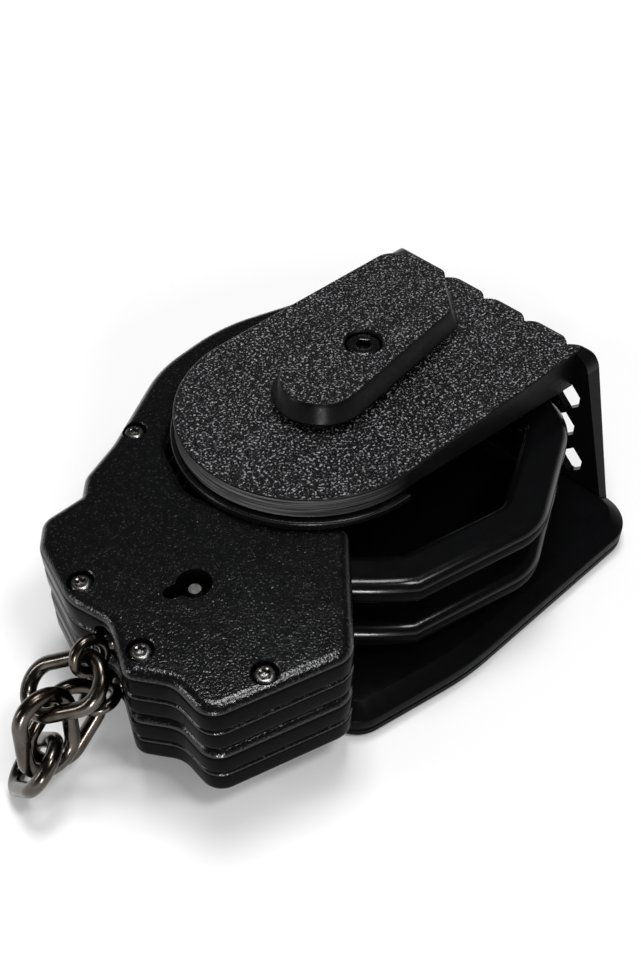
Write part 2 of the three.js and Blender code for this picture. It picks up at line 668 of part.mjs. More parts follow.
// What is cut from both shells: the bow's slot and eye pocket, the lock's pockets and its holes.
function shellCutters() {
  const slotLow = BOW_Z - RUN_GAP;
  const slotHigh = BOW_Z + BOW_T + RUN_GAP;
  const pawlLow = MID - PAWL_H / 2 - RUN_GAP;
  const pawlHigh = MID + PAWL_H / 2 + RUN_GAP;
  const [keyX, keyY] = KEYHOLE;
  const keySlot = strip([new THREE.Vector2(keyX, keyY), new THREE.Vector2(...KEY_SLOT_END)], 2 * KEY_SLOT_R);
  const [barX, barY] = LOCK_BAR_AT;
  const barHalf = LOCK_BAR_LENGTH / 2 + LOCK_BAR_TRAVEL + RUN_GAP;
  const barSide = LOCK_BAR_W / 2 + RUN_GAP;
  const swivelSink = SWIVEL_HEAD_X - SWIVEL_HEAD_T - RUN_GAP;
  const sideX = LOCK_SIDE[6][0];
  return [
    sector(BOW_IN_R - RUN_GAP, BOW_OUT_R + RUN_GAP, SLOT_END_DEG, LOCK_FACE_DEG + 3, slotLow, slotHigh),
    pin(0, 0, BOW_EYE_R + RUN_GAP, slotLow, slotHigh, 2 * ROUND_SIDES),
    sector(0.5, BOSS_R + 4, -132, -30, slotLow, slotHigh),
    sector(BOW_OUT_R, PAWL_POCKET_R, PAWL_TIP_DEG - 4, PAWL_HINGE_DEG + 3, pawlLow, pawlHigh),
    pin(keyX, keyY, KEYHOLE_R, pawlLow, CUFF_T + PAST),
    prism(keySlot, pawlLow, CUFF_T + PAST),
    pin(...KEY_SLOT_END, KEY_SLOT_R, pawlLow, CUFF_T + PAST, 12),
    pin(keyX, keyY, KEY_POST_R + SCREW_GAP, pawlLow - KEY_POST_SINK - RUN_GAP, MID),
    prism(rounded([
      [barX - barHalf, barY - barSide, 0],
      [barX + barHalf, barY - barSide, 0],
      [barX + barHalf, barY + barSide, 0],
      [barX - barHalf, barY + barSide, 0],
    ], true), MID - LOCK_BAR_H / 2 - RUN_GAP, MID + LOCK_BAR_H / 2 + RUN_GAP),
    pinX(SWIVEL_Y, MID, SWIVEL_HEAD_R + RUN_GAP, swivelSink, SWIVEL_HEAD_X + RUN_GAP),
    pinX(SWIVEL_Y, MID, SWIVEL_NECK_R + RUN_GAP, sideX - 8, swivelSink + PAST),
    pinX(SWIVEL_Y, MID, SWIVEL_HEAD_R + RUN_GAP, sideX - 8, sideX + 1),
    pin(0, 0, RIVET_R + RUN_GAP, -PAST, CUFF_T + PAST),
    pin(0, 0, RIVET_HEAD_R + HEAD_GAP, -PAST, RIVET_HEAD_T + RIVET_SINK + RUN_GAP),
    pin(0, 0, RIVET_HEAD_R + HEAD_GAP, CUFF_T - RIVET_HEAD_T - RIVET_SINK - RUN_GAP, CUFF_T + PAST),
    pin(...polar(BOW_OUT_R + PAWL_EYE_R + 1.4, PAWL_HINGE_DEG), PAWL_EYE_R + RUN_GAP, pawlLow, pawlHigh),
    pin(...pawlPivot, PAWL_PIN_R + SCREW_GAP, 1.8, CUFF_T - 1.8),
    ...CUFF_SCREWS.flatMap(([x, y]) => [
      pin(x, y, CUFF_HEAD_R + HEAD_GAP, CUFF_T - CUFF_HEAD_SINK - CUFF_HEAD_T, CUFF_T + PAST),
      pin(x, y, CUFF_SCREW_R + SCREW_GAP, CUFF_T - CUFF_SCREW_LENGTH - CUFF_HEAD_T - RUN_GAP, CUFF_T),
    ]),
  ];
}

const pawlPivot = polar(BOW_OUT_R + PAWL_EYE_R + 1.4, PAWL_HINGE_DEG);

function makeShells() {
  const outline = shellOutline();
  const lower = solid(slab(outline, roundEdges(0, MID, SHELL_ROUND, SHELL_GROOVE)));
  const upper = solid(slab(outline, roundEdges(MID, CUFF_T, SHELL_GROOVE, SHELL_ROUND)));
  const tools = shellCutters();
  return [cut(upper, ...tools), cut(lower, ...tools)];
}

function makeBow() {
  const steps = 8;
  const arc = Array.from({ length: steps + 1 }, (_, k) => (
    [...polar(BOW_ARC_R, BOW_TIP_DEG + ((BOW_ARC_END_DEG - BOW_TIP_DEG) * k) / steps), 0]
  ));
  const strand = slab(
    strip(rounded([...arc, ...BOW_CORNERS], false), BOW_W),
    roundEdges(BOW_Z, BOW_Z + BOW_T, BOW_ROUND, BOW_ROUND),
  );
  const eye = slab(circle(BOW_EYE_R, 0, 0, 2 * ROUND_SIDES), roundEdges(BOW_Z, BOW_Z + BOW_T, BOW_ROUND, BOW_ROUND));
  const notches = Array.from({ length: TEETH }, (_, k) => {
    const deg = BOW_TIP_DEG + 1 + k * TOOTH_PITCH_DEG;
    return prism([
      new THREE.Vector2(...polar(BOW_OUT_R - TOOTH_DEPTH, deg)),
      new THREE.Vector2(...polar(BOW_OUT_R + PAST, deg)),
      new THREE.Vector2(...polar(BOW_OUT_R + PAST, deg + TOOTH_PITCH_DEG * 1.6)),
    ], BOW_Z - PAST, BOW_Z + BOW_T + PAST);
  });
  return cut(join(solid(strand), solid(eye)), ...notches, pin(0, 0, RIVET_R + RUN_GAP, -PAST, CUFF_T + PAST));
}

function makeRivet() {
  const low = RIVET_SINK;
  const high = CUFF_T - RIVET_SINK;
  return turned([
    [0, low],
    [RIVET_HEAD_R, low],
    [RIVET_HEAD_R, low + RIVET_HEAD_T],
    [RIVET_R, low + RIVET_HEAD_T],
    [RIVET_R, high - RIVET_HEAD_T],
    [RIVET_HEAD_R, high - RIVET_HEAD_T],
    [RIVET_HEAD_R, high - 0.3],
    [RIVET_HEAD_R - 0.4, high],
    [0, high],
  ]);
}

function makeCuffScrew() {
  const top = CUFF_T - CUFF_HEAD_SINK;
  const end = top - CUFF_HEAD_T - CUFF_SCREW_LENGTH + RUN_GAP;
  const body = turned([
    [0, end],
    [CUFF_SCREW_R, end],
    [CUFF_SCREW_R, top - CUFF_HEAD_T],
    [CUFF_HEAD_R, top - CUFF_HEAD_T],
    [CUFF_HEAD_R, top - 0.5],
    [CUFF_HEAD_R - 0.6, top],
    [0, top],
  ]);
  return cut(body, prism(star(CUFF_HEAD_R * 0.5, 0, 0), top - 0.9, top + PAST));
}

function makePawl() {
  const low = MID - PAWL_H / 2;
  const high = MID + PAWL_H / 2;
  const r = BOW_OUT_R + 1;
  const arm = sector(r, r + PAWL_T, PAWL_TIP_DEG, PAWL_HINGE_DEG, low, high);
  const eye = pin(...pawlPivot, PAWL_EYE_R, low, high);
  return cut(join(arm, eye), pin(...pawlPivot, PAWL_PIN_R + SCREW_GAP, 0, CUFF_T));
}

function makePawlSpring() {
  const foot = polar(PAWL_POCKET_R - 0.6, PAWL_TIP_DEG - 3);
  const bend = polar(PAWL_POCKET_R - 0.9, PAWL_TIP_DEG + 1);
  const tip = polar(BOW_OUT_R + 1 + PAWL_T + 1.9, PAWL_TIP_DEG + 4.5);
  const path = rounded([[...foot, 0], [...bend, 1], [...tip, 0]], false);
  return prism(strip(path, 0.6), MID - 1.4, MID + 1.4);
}

function makeLockBar() {
  const [x, y] = LOCK_BAR_AT;
  const outline = rounded([
    [x - LOCK_BAR_LENGTH / 2, y - LOCK_BAR_W / 2, 0.6],
    [x + LOCK_BAR_LENGTH / 2, y - LOCK_BAR_W / 2, 0.6],
    [x + LOCK_BAR_LENGTH / 2, y + LOCK_BAR_W / 2, 0.6],
    [x - LOCK_BAR_LENGTH / 2, y + LOCK_BAR_W / 2, 0.6],
  ], true);
  return prism(outline, MID - LOCK_BAR_H / 2, MID + LOCK_BAR_H / 2);
}

// The swivel on its own axis: a headed neck in the lock body and a round eye outside it.
function makeSwivel() {
  const head = pinX(0, 0, SWIVEL_HEAD_R, SWIVEL_HEAD_X - SWIVEL_HEAD_T, SWIVEL_HEAD_X);
  const neck = pinX(0, 0, SWIVEL_NECK_R, SWIVEL_EYE_X + SWIVEL_EYE_R, SWIVEL_HEAD_X - PAST);
  const eye = wireRing(circle(SWIVEL_EYE_R), SWIVEL_WIRE_R).translate(SWIVEL_EYE_X, 0, 0);
  return join(head, neck, solid(eye));
}

// A chain link in the XY plane, its long axis along X.
function makeLink() {
  const r = LINK_WIDTH / 2 - LINK_WIRE_R;
  const half = LINK_LENGTH / 2 - LINK_WIRE_R;
  const path = rounded([[-half, -r, r], [half, -r, r], [half, r, r], [-half, r, r]], true);
  return solid(wireRing(path, LINK_WIRE_R));
}

const keyPostSpan = [MID - PAWL_H / 2 - RUN_GAP - KEY_POST_SINK, CUFF_T - 1.5];

const cuffPieces = (() => {
  const [upper, lower] = makeShells();
  return [
    ['upper_shell', geometryOf(upper), BLACK_COAT],
    ['lower_shell', geometryOf(lower), BLACK_COAT],
    ['bow', geometryOf(makeBow()), BLACK_COAT],
    ['pivot_rivet', geometryOf(makeRivet()), BLACK_COAT],
    ['key_post', geometryOf(pin(...KEYHOLE, KEY_POST_R, ...keyPostSpan, 12)), STEEL],
    ['pawl', geometryOf(makePawl()), STEEL],
    ['pawl_pin', geometryOf(pin(...pawlPivot, PAWL_PIN_R, 2, CUFF_T - 2, 12)), STEEL],
    ['pawl_spring', geometryOf(makePawlSpring()), STEEL],
    ['lock_bar', geometryOf(makeLockBar()), STEEL],
  ];
})();
const cuffScrew = geometryOf(makeCuffScrew());

const swivel = geometryOf(makeSwivel());

[['upper', UPPER_CUFF_Z], ['lower', LOWER_CUFF_Z]].forEach(([which, z], side) => {
  const cuff = new THREE.Group();
  cuff.position.set(PIVOT_X, PIVOT_Y, z);
  part.add(cuff);
  cuffPieces.forEach(([name, geometry, finish]) => add(`${which}_cuff_${name}`, geometry, finish, cuff));
  CUFF_SCREWS.forEach(([x, y], i) => {
    add(`${which}_cuff_screw_${i + 1}`, cuffScrew, STEEL, cuff).position.set(x, y, 0);
  });
  const eye = add(`${which}_cuff_swivel`, swivel, STEEL, cuff);
  eye.position.set(0, SWIVEL_Y, MID);
  eye.rotation.x = THREE.MathUtils.degToRad(SWIVEL_TURNS[side]);
});

// ---- Chain ----

const link = geometryOf(makeLink());
LINKS.forEach(({ at, turn }, i) => {
  const mesh = add(`chain_link_${i + 1}`, link, STEEL);
  mesh.position.set(...at);
  mesh.rotation.set(...turn.map(THREE.MathUtils.degToRad), 'ZYX');
});

export default part;
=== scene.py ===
"""Chain handcuffs folded in an open moulded belt case: their visible surfaces and finishes.

Outlines are in millimetres. A handcuff's are drawn from its bow's pivot, its underside at height 0.
"""

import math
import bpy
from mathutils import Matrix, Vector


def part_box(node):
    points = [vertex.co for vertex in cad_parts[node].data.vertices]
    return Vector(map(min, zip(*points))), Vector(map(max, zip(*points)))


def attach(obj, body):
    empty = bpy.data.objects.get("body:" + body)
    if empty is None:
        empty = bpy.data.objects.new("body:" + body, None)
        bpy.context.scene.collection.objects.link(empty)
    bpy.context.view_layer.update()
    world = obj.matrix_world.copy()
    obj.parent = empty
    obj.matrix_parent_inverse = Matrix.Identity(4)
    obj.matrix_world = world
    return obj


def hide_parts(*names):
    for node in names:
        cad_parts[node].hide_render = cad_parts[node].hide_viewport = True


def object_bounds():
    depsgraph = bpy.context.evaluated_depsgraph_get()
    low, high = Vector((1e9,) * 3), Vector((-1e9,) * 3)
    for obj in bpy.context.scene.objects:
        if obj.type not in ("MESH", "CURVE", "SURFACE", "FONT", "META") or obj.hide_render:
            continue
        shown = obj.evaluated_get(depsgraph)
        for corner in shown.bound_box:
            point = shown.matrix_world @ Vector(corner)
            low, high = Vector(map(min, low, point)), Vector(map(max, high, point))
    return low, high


bl_info = {
    "name": "Cased Chain Handcuffs",
    "version": (1, 0, 0),
    "blender": (4, 5, 0),
    "location": "View3D > Sidebar > Handcuffs",
    "description": "Folded chain handcuffs in an open belt case, and a plain studio",
    "category": "Add Mesh",
}

import bpy
import numpy as np
from bpy.props import FloatProperty, FloatVectorProperty, PointerProperty
from mathutils import Matrix, Vector

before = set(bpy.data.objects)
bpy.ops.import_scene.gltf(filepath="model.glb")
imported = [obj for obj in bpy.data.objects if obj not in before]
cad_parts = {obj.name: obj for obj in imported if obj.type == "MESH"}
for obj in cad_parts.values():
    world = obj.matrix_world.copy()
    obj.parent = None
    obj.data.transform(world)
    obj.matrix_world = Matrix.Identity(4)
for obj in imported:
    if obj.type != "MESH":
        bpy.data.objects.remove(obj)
CAD_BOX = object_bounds()
MM = 0.001
SAG = 0.012  # how far a chord may lie from its arc
SAG_SHARE = 0.02  # and at most this share of the arc's radius
PAST = 1  # how far a cutting solid runs past what it cuts
FLAT_RIM = 0.15  # a narrow flat beside a round edge, which keeps the face's shading flat
CUFFS = ("upper", "lower")
SQUARE = np.array([(-1, -1), (1, -1), (1, 1), (-1, 1)])


def span(node, axis):
    """A CAD node's lowest and highest place along an axis, in millimetres."""
    low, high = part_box(node)
    return low[axis] / MM, high[axis] / MM


# Places that the frame gives
BELT_LOW, BELT_HIGH = span("belt_plate", 2)
BASE_LOW, BASE_HIGH = span("base_shell", 2)
BASE_X0, BASE_X1 = span("base_shell", 0)
BASE_Y0, BASE_Y1 = span("base_shell", 1)
LINER_LOW, PLATE_LOW = span("grip_liner", 2)
PLATE_HIGH = span("front_shell", 2)[1]
PLATE_X0, BACK_CREST = span("front_shell", 0)
BACK_Y0, BACK_Y1 = span("front_shell", 1)
SPACER_LOW, CAP_LOW = span("button_spacer", 2)
CAP_HIGH = span("button_cap", 2)[1]
SCREW_LOW, SCREW_HIGH = span("button_screw", 2)
SCREW_Y = sum(span("button_screw", 1)) / 2
PIVOT = np.array([sum(span("upper_cuff_pivot_rivet", axis)) / 2 for axis in (0, 1)])
CUFF_LOW = {which: span(f"{which}_cuff_lower_shell", 2)[0] for which in CUFFS}
CUFF_T = span("upper_cuff_upper_shell", 2)[1] - CUFF_LOW["upper"]
MID = CUFF_T / 2
BOW_T = span("upper_cuff_bow", 2)[1] - span("upper_cuff_bow", 2)[0]
BOW_LOW = MID - BOW_T / 2
BOW_ROUND = 0.44 * BOW_T

# The case's remaining sizes
RUN_GAP = 0.3
PLATE_HALF_W = 27
ROUND_END_X = PLATE_X0 + PLATE_HALF_W
# where the painted sheen on the plate's round-end wall has faded out
SHEEN_TO_X = PLATE_X0 + 4
PLATE_FAR_X = 36.2
PLATE_CORNER_R = 5
LOBE_W = 11.4
LOBE_DEPTH = 2.7
LOBES = 5
LOBE_SHIFT = -6.7
BACK_INSIDE_X = 34.8
BACK_LOW_X = 37.2
BACK_TOP_Y = (-29.8, 26.8)
BACK_SHOULDER_R = 5
BACK_WEB_T = 1.8
BACK_POST_W = 2.4
BACK_RIM = 1
BEVEL = 3.3
BEVEL_RISE = 2.2
BASE_TAPER = 5.2
BASE_NEAR_R = 7
BASE_FAR_R = 9
BASE_WAIST = (-20, 60)  # where the base stops widening, and its round there
FOOT = 0.3
GUSSET_T = 2.1
GUSSET_DROP = 4.7
GUSSET_START_X = -12
CELL_W = 5.4
CELL_H = 7.2
CELLS = 7
CELL_ROWS = ((12.1, 31), (20.3, 27.4), (28.3, 27.4))
BEND_R = 1.4
LINER_R = 28
LINER_NECK_INSET = 3
LINER_LIP = 0.76  # the share of its height that stands out
BELT_SCREW_AT = (34, 30)
BELT_HOLE_R = 1.5
BELT_HOLE_ROOF = 1
BELT_SINK_R = 2.8
BELT_SINK_DEPTH = 1.6
NUT_R = 3.9
NUT_DEPTH = 2.9

# The turn-button, drawn from its screw with its long axis along X
BUTTON_TURN = 8.6
BUTTON_HALF_W = 10.2
BUTTON_NEAR = 24.3
BUTTON_FAR = 29.5
BUTTON_SHOULDER = 8.5
BUTTON_FLARE = 2
BUTTON_BEND_R = 4
BUTTON_END_R = 3
SPACER_INSET = 2.4
HEAD_R = 3.5
HEAD_T = 2.4
HEAD_ROOM = 0.4
WASHER_T = 0.5
SHANK_R = 2
BORE_GAP = 0.25

# The handcuff
BOW_W = 9.2
BOW_ARC_R = 72.6
BOW_TIP = -158
BOW_ARC_END = -127.5
BOW_SLOT = (BOW_ARC_R - BOW_W / 2 - RUN_GAP, BOW_ARC_R + BOW_W / 2 + RUN_GAP)
BOW_EYE_R = 9
TEETH = 14
TOOTH_PITCH = 1.35
TOOTH_DEPTH = 1.2
TOOTH_SLANT = 1.6
LOCK_FACE = -136.8
LOCK_CORNER = (-67.5, -66, 5)
LOCK_WALL = 3
LOCK_FACE_END_R = 2.4
SLOT_END = -185
PIVOT_GAP = (-132, -30)  # the angles between which the shells open beside the bow's eye
BOSS_R = 11.4
RIVET_R = 2.8
RIVET_HEAD_R = 4.4
RIVET_HEAD_T = 1.2
RIVET_SINK = 0.25
CUFF_SCREWS = ((-59.7, 5.2), (-91.3, -20.3), (-93, -39.9), (-81, -58.1))
CUFF_HEAD_R = 2.1
CUFF_HEAD_T = 1.6
CUFF_HEAD_SINK = 0.45
CUFF_SHANK_R = 1.1
CUFF_SCREW_LENGTH = 7.3
KEYHOLE = (-77.1, -35)
KEYHOLE_R = 3.35
KEY_POST_R = 1.2
PAWL_POCKET = (77.2, 86, -170, -144)
PAWL_EYE = (80.8, -147)
LOCK_BAR_AT = (-82, -47)
LOCK_BAR_POCKET = (7.5, 1.8, 1.9)
KEY_SLOT_END = (-81.4, -33.8)
KEY_SLOT_R = 1.5
PIN_HOLE_R = 1.1
PIN_HOLE_END = 1.8
LOCK_FLOOR = MID - 2.3
SWIVEL_Y = -30.8
SWIVEL_MOUTH_X = -93.2
SWIVEL_HEAD_R = 3.4
LOCK_SIDE = (
    (-65, 5.6, 20), (-74.8, 1.6, 5), (-78.4, -2.3, 1.5), (-87.6, -2.6, 4), (-91.7, -7.5, 5),
    (-95.6, -22, 10), (-93.2, -31, 5), (-98.4, -42, 3.2), (-93.4, -49, 6), (-93.9, -58.2, 4.5),
)
STRAND_INSIDE = ((-63, -16, 10), (-58.5, -3, 8), (-45, 5.5, 20), (-28, 11, 30), (-15, 8.5, 6))
STRAND_OUTSIDE = ((-6, 15.5, 30), (-24, 20.6, 40), (-43.5, 18.2, 30))
BOW_CORNERS = ((-18.3, -63.1, 10), (9.6, -48.4, 12), (9.4, -22, 14), (0, 0, 0))

# The chain
WIRE_R = 1.45
LINK_LENGTH = 18.9
LINK_WIDTH = 12.4
EYE_R = 3.1
EYE_WIRE_R = 1.06
EYE_X = -97.8
NECK_R = 1.85
NECK_ROOM = 0.35


# ---- Sizes, colours and lights that a user may change ----


def length(name, default, about):
    fit = {"min": 0, "unit": "LENGTH", "precision": 5}
    return FloatProperty(name=name, default=default, description=about, **fit)


def amount(name, default, about, high=1.0):
    return FloatProperty(name=name, default=default, description=about, min=0, max=high)


def colour(name, default, about):
    fit = {"size": 3, "min": 0, "max": 1, "subtype": "COLOR"}
    return FloatVectorProperty(name=name, default=default, description=about, **fit)


class HANDCUFF_PG_rounds(bpy.types.PropertyGroup):
    plate_edge: length("Plate edge", 0.00035, "Round along the plate's upper edge")
    base_edge: length("Base edge", 0.0006, "Round along the base's bevel")
    cap_edge: length("Button edge", 0.00025, "Round along the button's upper edge")
    shell: length("Lock shoulder", 0.0022, "Round along the lock body's outer edges")
    groove: length("Shell groove", 0.0011, "Round where a cuff's two shells meet")


class HANDCUFF_PG_finishes(bpy.types.PropertyGroup):
    polymer: colour("Polymer", (0.0022, 0.0023, 0.0026), "Moulded black of the case")
    polymer_grain: colour("Grain", (0.0022, 0.0023, 0.0027), "Hollows of the moulded grain")
    coat: colour("Coat", (0.002, 0.0021, 0.0024), "Satin black coat of the cuffs")
    # colour of the painted glints on the coat's peel
    coat_glints: colour("Coat specks", (0.02, 0.02, 0.022), "Raised specks of the coat")
    # colour of the painted sheen, in fine lines on the plate's round-end wall
    worn: colour("Sheen lines", (0.16, 0.16, 0.16), "Fine worn lines on the plate's round end")
    # colour of the painted glint on the grain's tips
    painted_glint: colour("Grain tips", (0.42, 0.42, 0.44), "Tips of the grain that catch the light")
    steel: colour("Steel", (0.1, 0.09, 0.08), "Polished steel of the chain")
    screw_steel: colour("Screw steel", (0.17, 0.165, 0.16), "Bright steel of the small screws")
    lock_steel: colour("Lock steel", (0.25, 0.25, 0.24), "Ground steel inside the locks")
    grain_size: length("Grain size", 0.0005, "Width of one pebble of the moulded grain")
    grain_depth: length("Grain depth", 0.00025, "Depth of the moulded grain")
    coat_grain: length("Coat grain", 0.0004, "Width of the coat's fine texture")


class HANDCUFF_PG_stage(bpy.types.PropertyGroup):
    lens: FloatProperty(
        name="Lens",
        default=43.035,
        min=10,
        unit="CAMERA",
        description="Focal length on a 36 mm frame",
    )
    key: amount("Key", 2.3, "Watts of the lamp overhead, a little behind", 100)
    shoulder: amount("Shoulder", 1.3, "Watts of the small lamp in the cuffs' round edges", 100)
    low: amount("Low", 2.3, "Watts of the low lamp in front", 100)
    side: amount("Side", 0.8, "Watts of the lamp on the chain's side", 100)
    room: amount("Room", 0.35, "Strength of the light that the room throws")
    ceiling: amount("Ceiling", 0.05, "Strength of the ceiling where it is reflected")
    horizon: amount("Horizon", 0.85, "Strength of the pale walls where they are reflected")
    floor: colour("Floor", (0.8, 0.8, 0.8), "Pale floor")


# ---- Outlines, as arrays of points in the plane ----


def ray(radius, degrees):
    """The point at a distance and an angle from the origin: r (cos a, sin a)."""
    a = math.radians(degrees)
    return np.array([radius * math.cos(a), radius * math.sin(a)])


def steps_of(turn, radius):
    """How many chords keep an arc of that turn within SAG of its circle."""
    return max(2, math.ceil(abs(turn) / (2 * math.acos(1 - min(SAG / radius, SAG_SHARE)))))


def polar(radius, a, at=(0, 0)):
    """The points at + r (cos a, sin a) of an array of angles in radians."""
    return np.asarray(at) + radius * np.stack([np.cos(a), np.sin(a)], axis=1)


def circle(radius, at=(0, 0), sides=64):
    return polar(radius, np.linspace(0, 2 * np.pi, sides, endpoint=False), at)


def rounded(corners, closed=True):
    """An outline through corners (x, y, radius).

    Each corner becomes the arc that touches both of its sides, at most half a side away from it.
    """
    corners = np.array([list(c) + [0] * (3 - len(c)) for c in corners], float)
    count = len(corners)
    parts = []
    for i, (x, y, radius) in enumerate(corners):
        here = np.array([x, y])
        if radius == 0 or (not closed and i in (0, count - 1)):
            parts.append(here[None])
            continue
        back, ahead = corners[i - 1, :2] - here, corners[(i + 1) % count, :2] - here
        room = min(np.linalg.norm(back), np.linalg.norm(ahead)) / 2
        back, ahead = back / np.linalg.norm(back), ahead / np.linalg.norm(ahead)
        half = math.acos(np.clip(back @ ahead, -1, 1)) / 2
        reach = min(radius / math.tan(half), room)
        r = reach * math.tan(half)
        centre = here + (back + ahead) / np.linalg.norm(back + ahead) * r / math.sin(half)
        start = here + back * reach - centre
        turn = math.copysign(math.pi - 2 * half, -(back[0] * ahead[1] - back[1] * ahead[0]))
        a = math.atan2(start[1], start[0]) + np.linspace(0, turn, steps_of(turn, r) + 1)
        parts.append(polar(r, a, centre))
    points = np.concatenate(parts)
    apart = np.linalg.norm(points - np.roll(points, 1, axis=0), axis=1) > 1e-3
    if not closed:
        apart[0] = True
    return points[apart]


def grown(points, distance, closed=True):
    """Each point moved out along the mitre (n1 + n2) / (1 + n1 . n2) of its two sides' normals."""
    ahead = np.roll(points, -1, axis=0) - points
    if not closed:
        ahead[-1] = ahead[-2]
    normal = np.stack([ahead[:, 1], -ahead[:, 0]], axis=1)
    normal /= np.linalg.norm(normal, axis=1, keepdims=True)
    before = np.roll(normal, 1, axis=0)
    if not closed:
        before[0] = normal[0]
    mitre = (normal + before) / (1 + np.sum(normal * before, axis=1, keepdims=True))
    return points + mitre * distance


def strip(path, width):
    """The closed outline of a strip of constant width along an open path."""
    return np.concatenate([grown(path, width / 2, False), grown(path, -width / 2, False)[::-1]])


def stadium(a, b, radius):
    """All points within a radius of the segment from a to b: two half circles and two straights."""
    a, b = np.asarray(a, float), np.asarray(b, float)
    cap = polar(radius, math.atan2(*(b - a)[::-1]) + np.linspace(-np.pi / 2, np.pi / 2, 25))
    return np.concatenate([b + cap, a - cap])


# ---- Solids, as (points, faces) ----


def quads(rows, columns):
    """The faces between neighbouring rings of a grid whose rings are closed."""
    k, i = np.meshgrid(np.arange(rows - 1), np.arange(columns), indexing="ij")
    a, b = k * columns + i, k * columns + (i + 1) % columns
    return np.stack([a, b, b + columns, a + columns], axis=-1).reshape(-1, 4)


def closed_solid(rings):
    """A solid skinned over rings of equal count, with a flat face at each end."""
    rows, columns = rings.shape[:2]
    last = (rows - 1) * columns
    faces = quads(rows, columns).tolist()
    faces += [list(range(columns))[::-1], list(range(last, last + columns))]
    return rings.reshape(-1, 3), faces


def slab(outline, profile):
    """A profile of rows (inset, height), each the outline drawn in by its inset at its height."""
    count = len(outline)
    rings = [np.column_stack([grown(outline, -inset), np.full(count, z)]) for inset, z in profile]
    return closed_solid(np.array(rings))


def quarter(radius, z, rising, steps=8):
    """The profile (inset, height) of a quarter round at a slab's lower (rising) or upper edge."""
    a = np.linspace(0, np.pi / 2, steps + 1)
    inset, height = radius * (1 - np.sin(a)), radius * (1 - np.cos(a))
    if rising:
        return [(radius + FLAT_RIM, z), *zip(inset, z + height)]
    return [*zip(inset[::-1], z - height[::-1]), (radius + FLAT_RIM, z)]


def rounded_slab(outline, low, high, low_round, high_round):
    """A slab whose edges are quarter rounds, or square where the round is 0."""
    foot = quarter(low_round, low, True) if low_round else [(0, low)]
    head = quarter(high_round, high, False) if high_round else [(0, high)]
    return slab(outline, foot + head)


def prism(outline, low, high):
    return slab(outline, [(0, low), (0, high)])


def along_x(outline, low, high):
    """A prism along X of an outline drawn in (y, z)."""
    points, faces = prism(outline, low, high)
    return points[:, [2, 0, 1]], faces


def along_y(outline, low, high):
    """A prism along Y of an outline drawn in (x, z)."""
    points, faces = prism(outline, -high, -low)
    return points[:, [0, 2, 1]] * (1, -1, 1), faces


def turned(profile, sides=60):
    """A solid turned round the Z axis from rows (radius, height).

    A row may have a function of the angle as its third entry, which shapes its ring.
    """
    a = np.linspace(0, 2 * np.pi, sides, endpoint=False)
    rings = []
    for radius, z, *form in profile:
        reach = radius * form[0](a) if form else radius
        rings.append(np.column_stack([reach * np.cos(a), reach * np.sin(a), np.full(sides, z)]))
    return closed_solid(np.array(rings))


def star(a):
    """A driver recess of six rounded points: 1 + cos(6a) / 6."""
    return 1 + np.cos(6 * a) / 6


def hexagon(a):
    """A hexagon's edge at an angle: cos 30 / cos(a - the nearest side's middle)."""
    return math.cos(math.pi / 6) / np.cos(a % (math.pi / 3) - math.pi / 6)


def ring_of_wire(path, radius, sides=24):
    """Wire round a closed flat path: point + r (cos b n, sin b), where n is its outward normal."""
    along = np.roll(path, -1, axis=0) - np.roll(path, 1, axis=0)
    out = np.stack([along[:, 1], -along[:, 0]], axis=1)
    out /= np.linalg.norm(out, axis=1, keepdims=True)
    b = np.linspace(0, 2 * np.pi, sides, endpoint=False)
    flat = path[:, None] + radius * np.cos(b)[None, :, None] * out[:, None]
    height = np.broadcast_to(radius * np.sin(b)[None, :, None], (len(path), sides, 1))
    points = np.concatenate([flat, height], axis=2)
    wrapped = quads(len(path) + 1, sides) % (len(path) * sides)
    return points.reshape(-1, 3), wrapped[:, ::-1].tolist()


def moved(made, by=(0, 0, 0), turn=None):
    """A solid turned by a 3 x 3 matrix and then moved."""
    points, faces = made
    if turn is not None:
        points = points @ np.asarray(turn).T
    return points + np.asarray(by, float), faces


def about_z(degrees):
    c, s = math.cos(math.radians(degrees)), math.sin(math.radians(degrees))
    return np.array([[c, -s, 0], [s, c, 0], [0, 0, 1]])


# ---- Meshes and pieces ----


def mesh_of(made):
    """A Blender mesh, in metres, of a solid in millimetres."""
    points, faces = made
    mesh = bpy.data.meshes.new("solid")
    mesh.from_pydata((points * MM).tolist(), [], faces)
    mesh.validate()
    return mesh


def solid_of(mesh):
    """A mesh's points, in millimetres, and its faces."""
    points = np.empty(len(mesh.vertices) * 3)
    mesh.vertices.foreach_get("co", points)
    return points.reshape(-1, 3) / MM, [list(face.vertices) for face in mesh.polygons]


def put(name, data):
    """A new object in the scene."""
    made = bpy.data.objects.new(name, data)
    bpy.context.scene.collection.objects.link(made)
    return made


def put_together(mesh, tools, operation):
    """Joins the tools to a mesh, cuts them from it, or keeps what lies in all of them."""
    body = put("body", mesh)
    held, kits = [], []
    groups = [tools] if operation != "INTERSECT" else [[tool] for tool in tools]
    for group in groups:
        kit = bpy.data.collections.new("kit")
        kits.append(kit)
        bpy.context.scene.collection.children.link(kit)
        for tool in group:
            cutter = bpy.data.objects.new("tool", mesh_of(tool))
            kit.objects.link(cutter)
            held.append(cutter)
        modifier = body.modifiers.new("carve", "BOOLEAN")
        modifier.operation = operation
        modifier.solver = "EXACT"
        modifier.operand_type = "COLLECTION"
        modifier.collection = kit
    seen = body.evaluated_get(bpy.context.evaluated_depsgraph_get())
    made = bpy.data.meshes.new_from_object(seen)
    for thing in [body, *held]:
        bpy.data.objects.remove(thing)
    for kit in kits:
        bpy.data.collections.remove(kit)
    return made


def cut(mesh, tools):
    return put_together(mesh, tools, "DIFFERENCE")


def join(mesh, tools):
    return put_together(mesh, tools, "UNION")


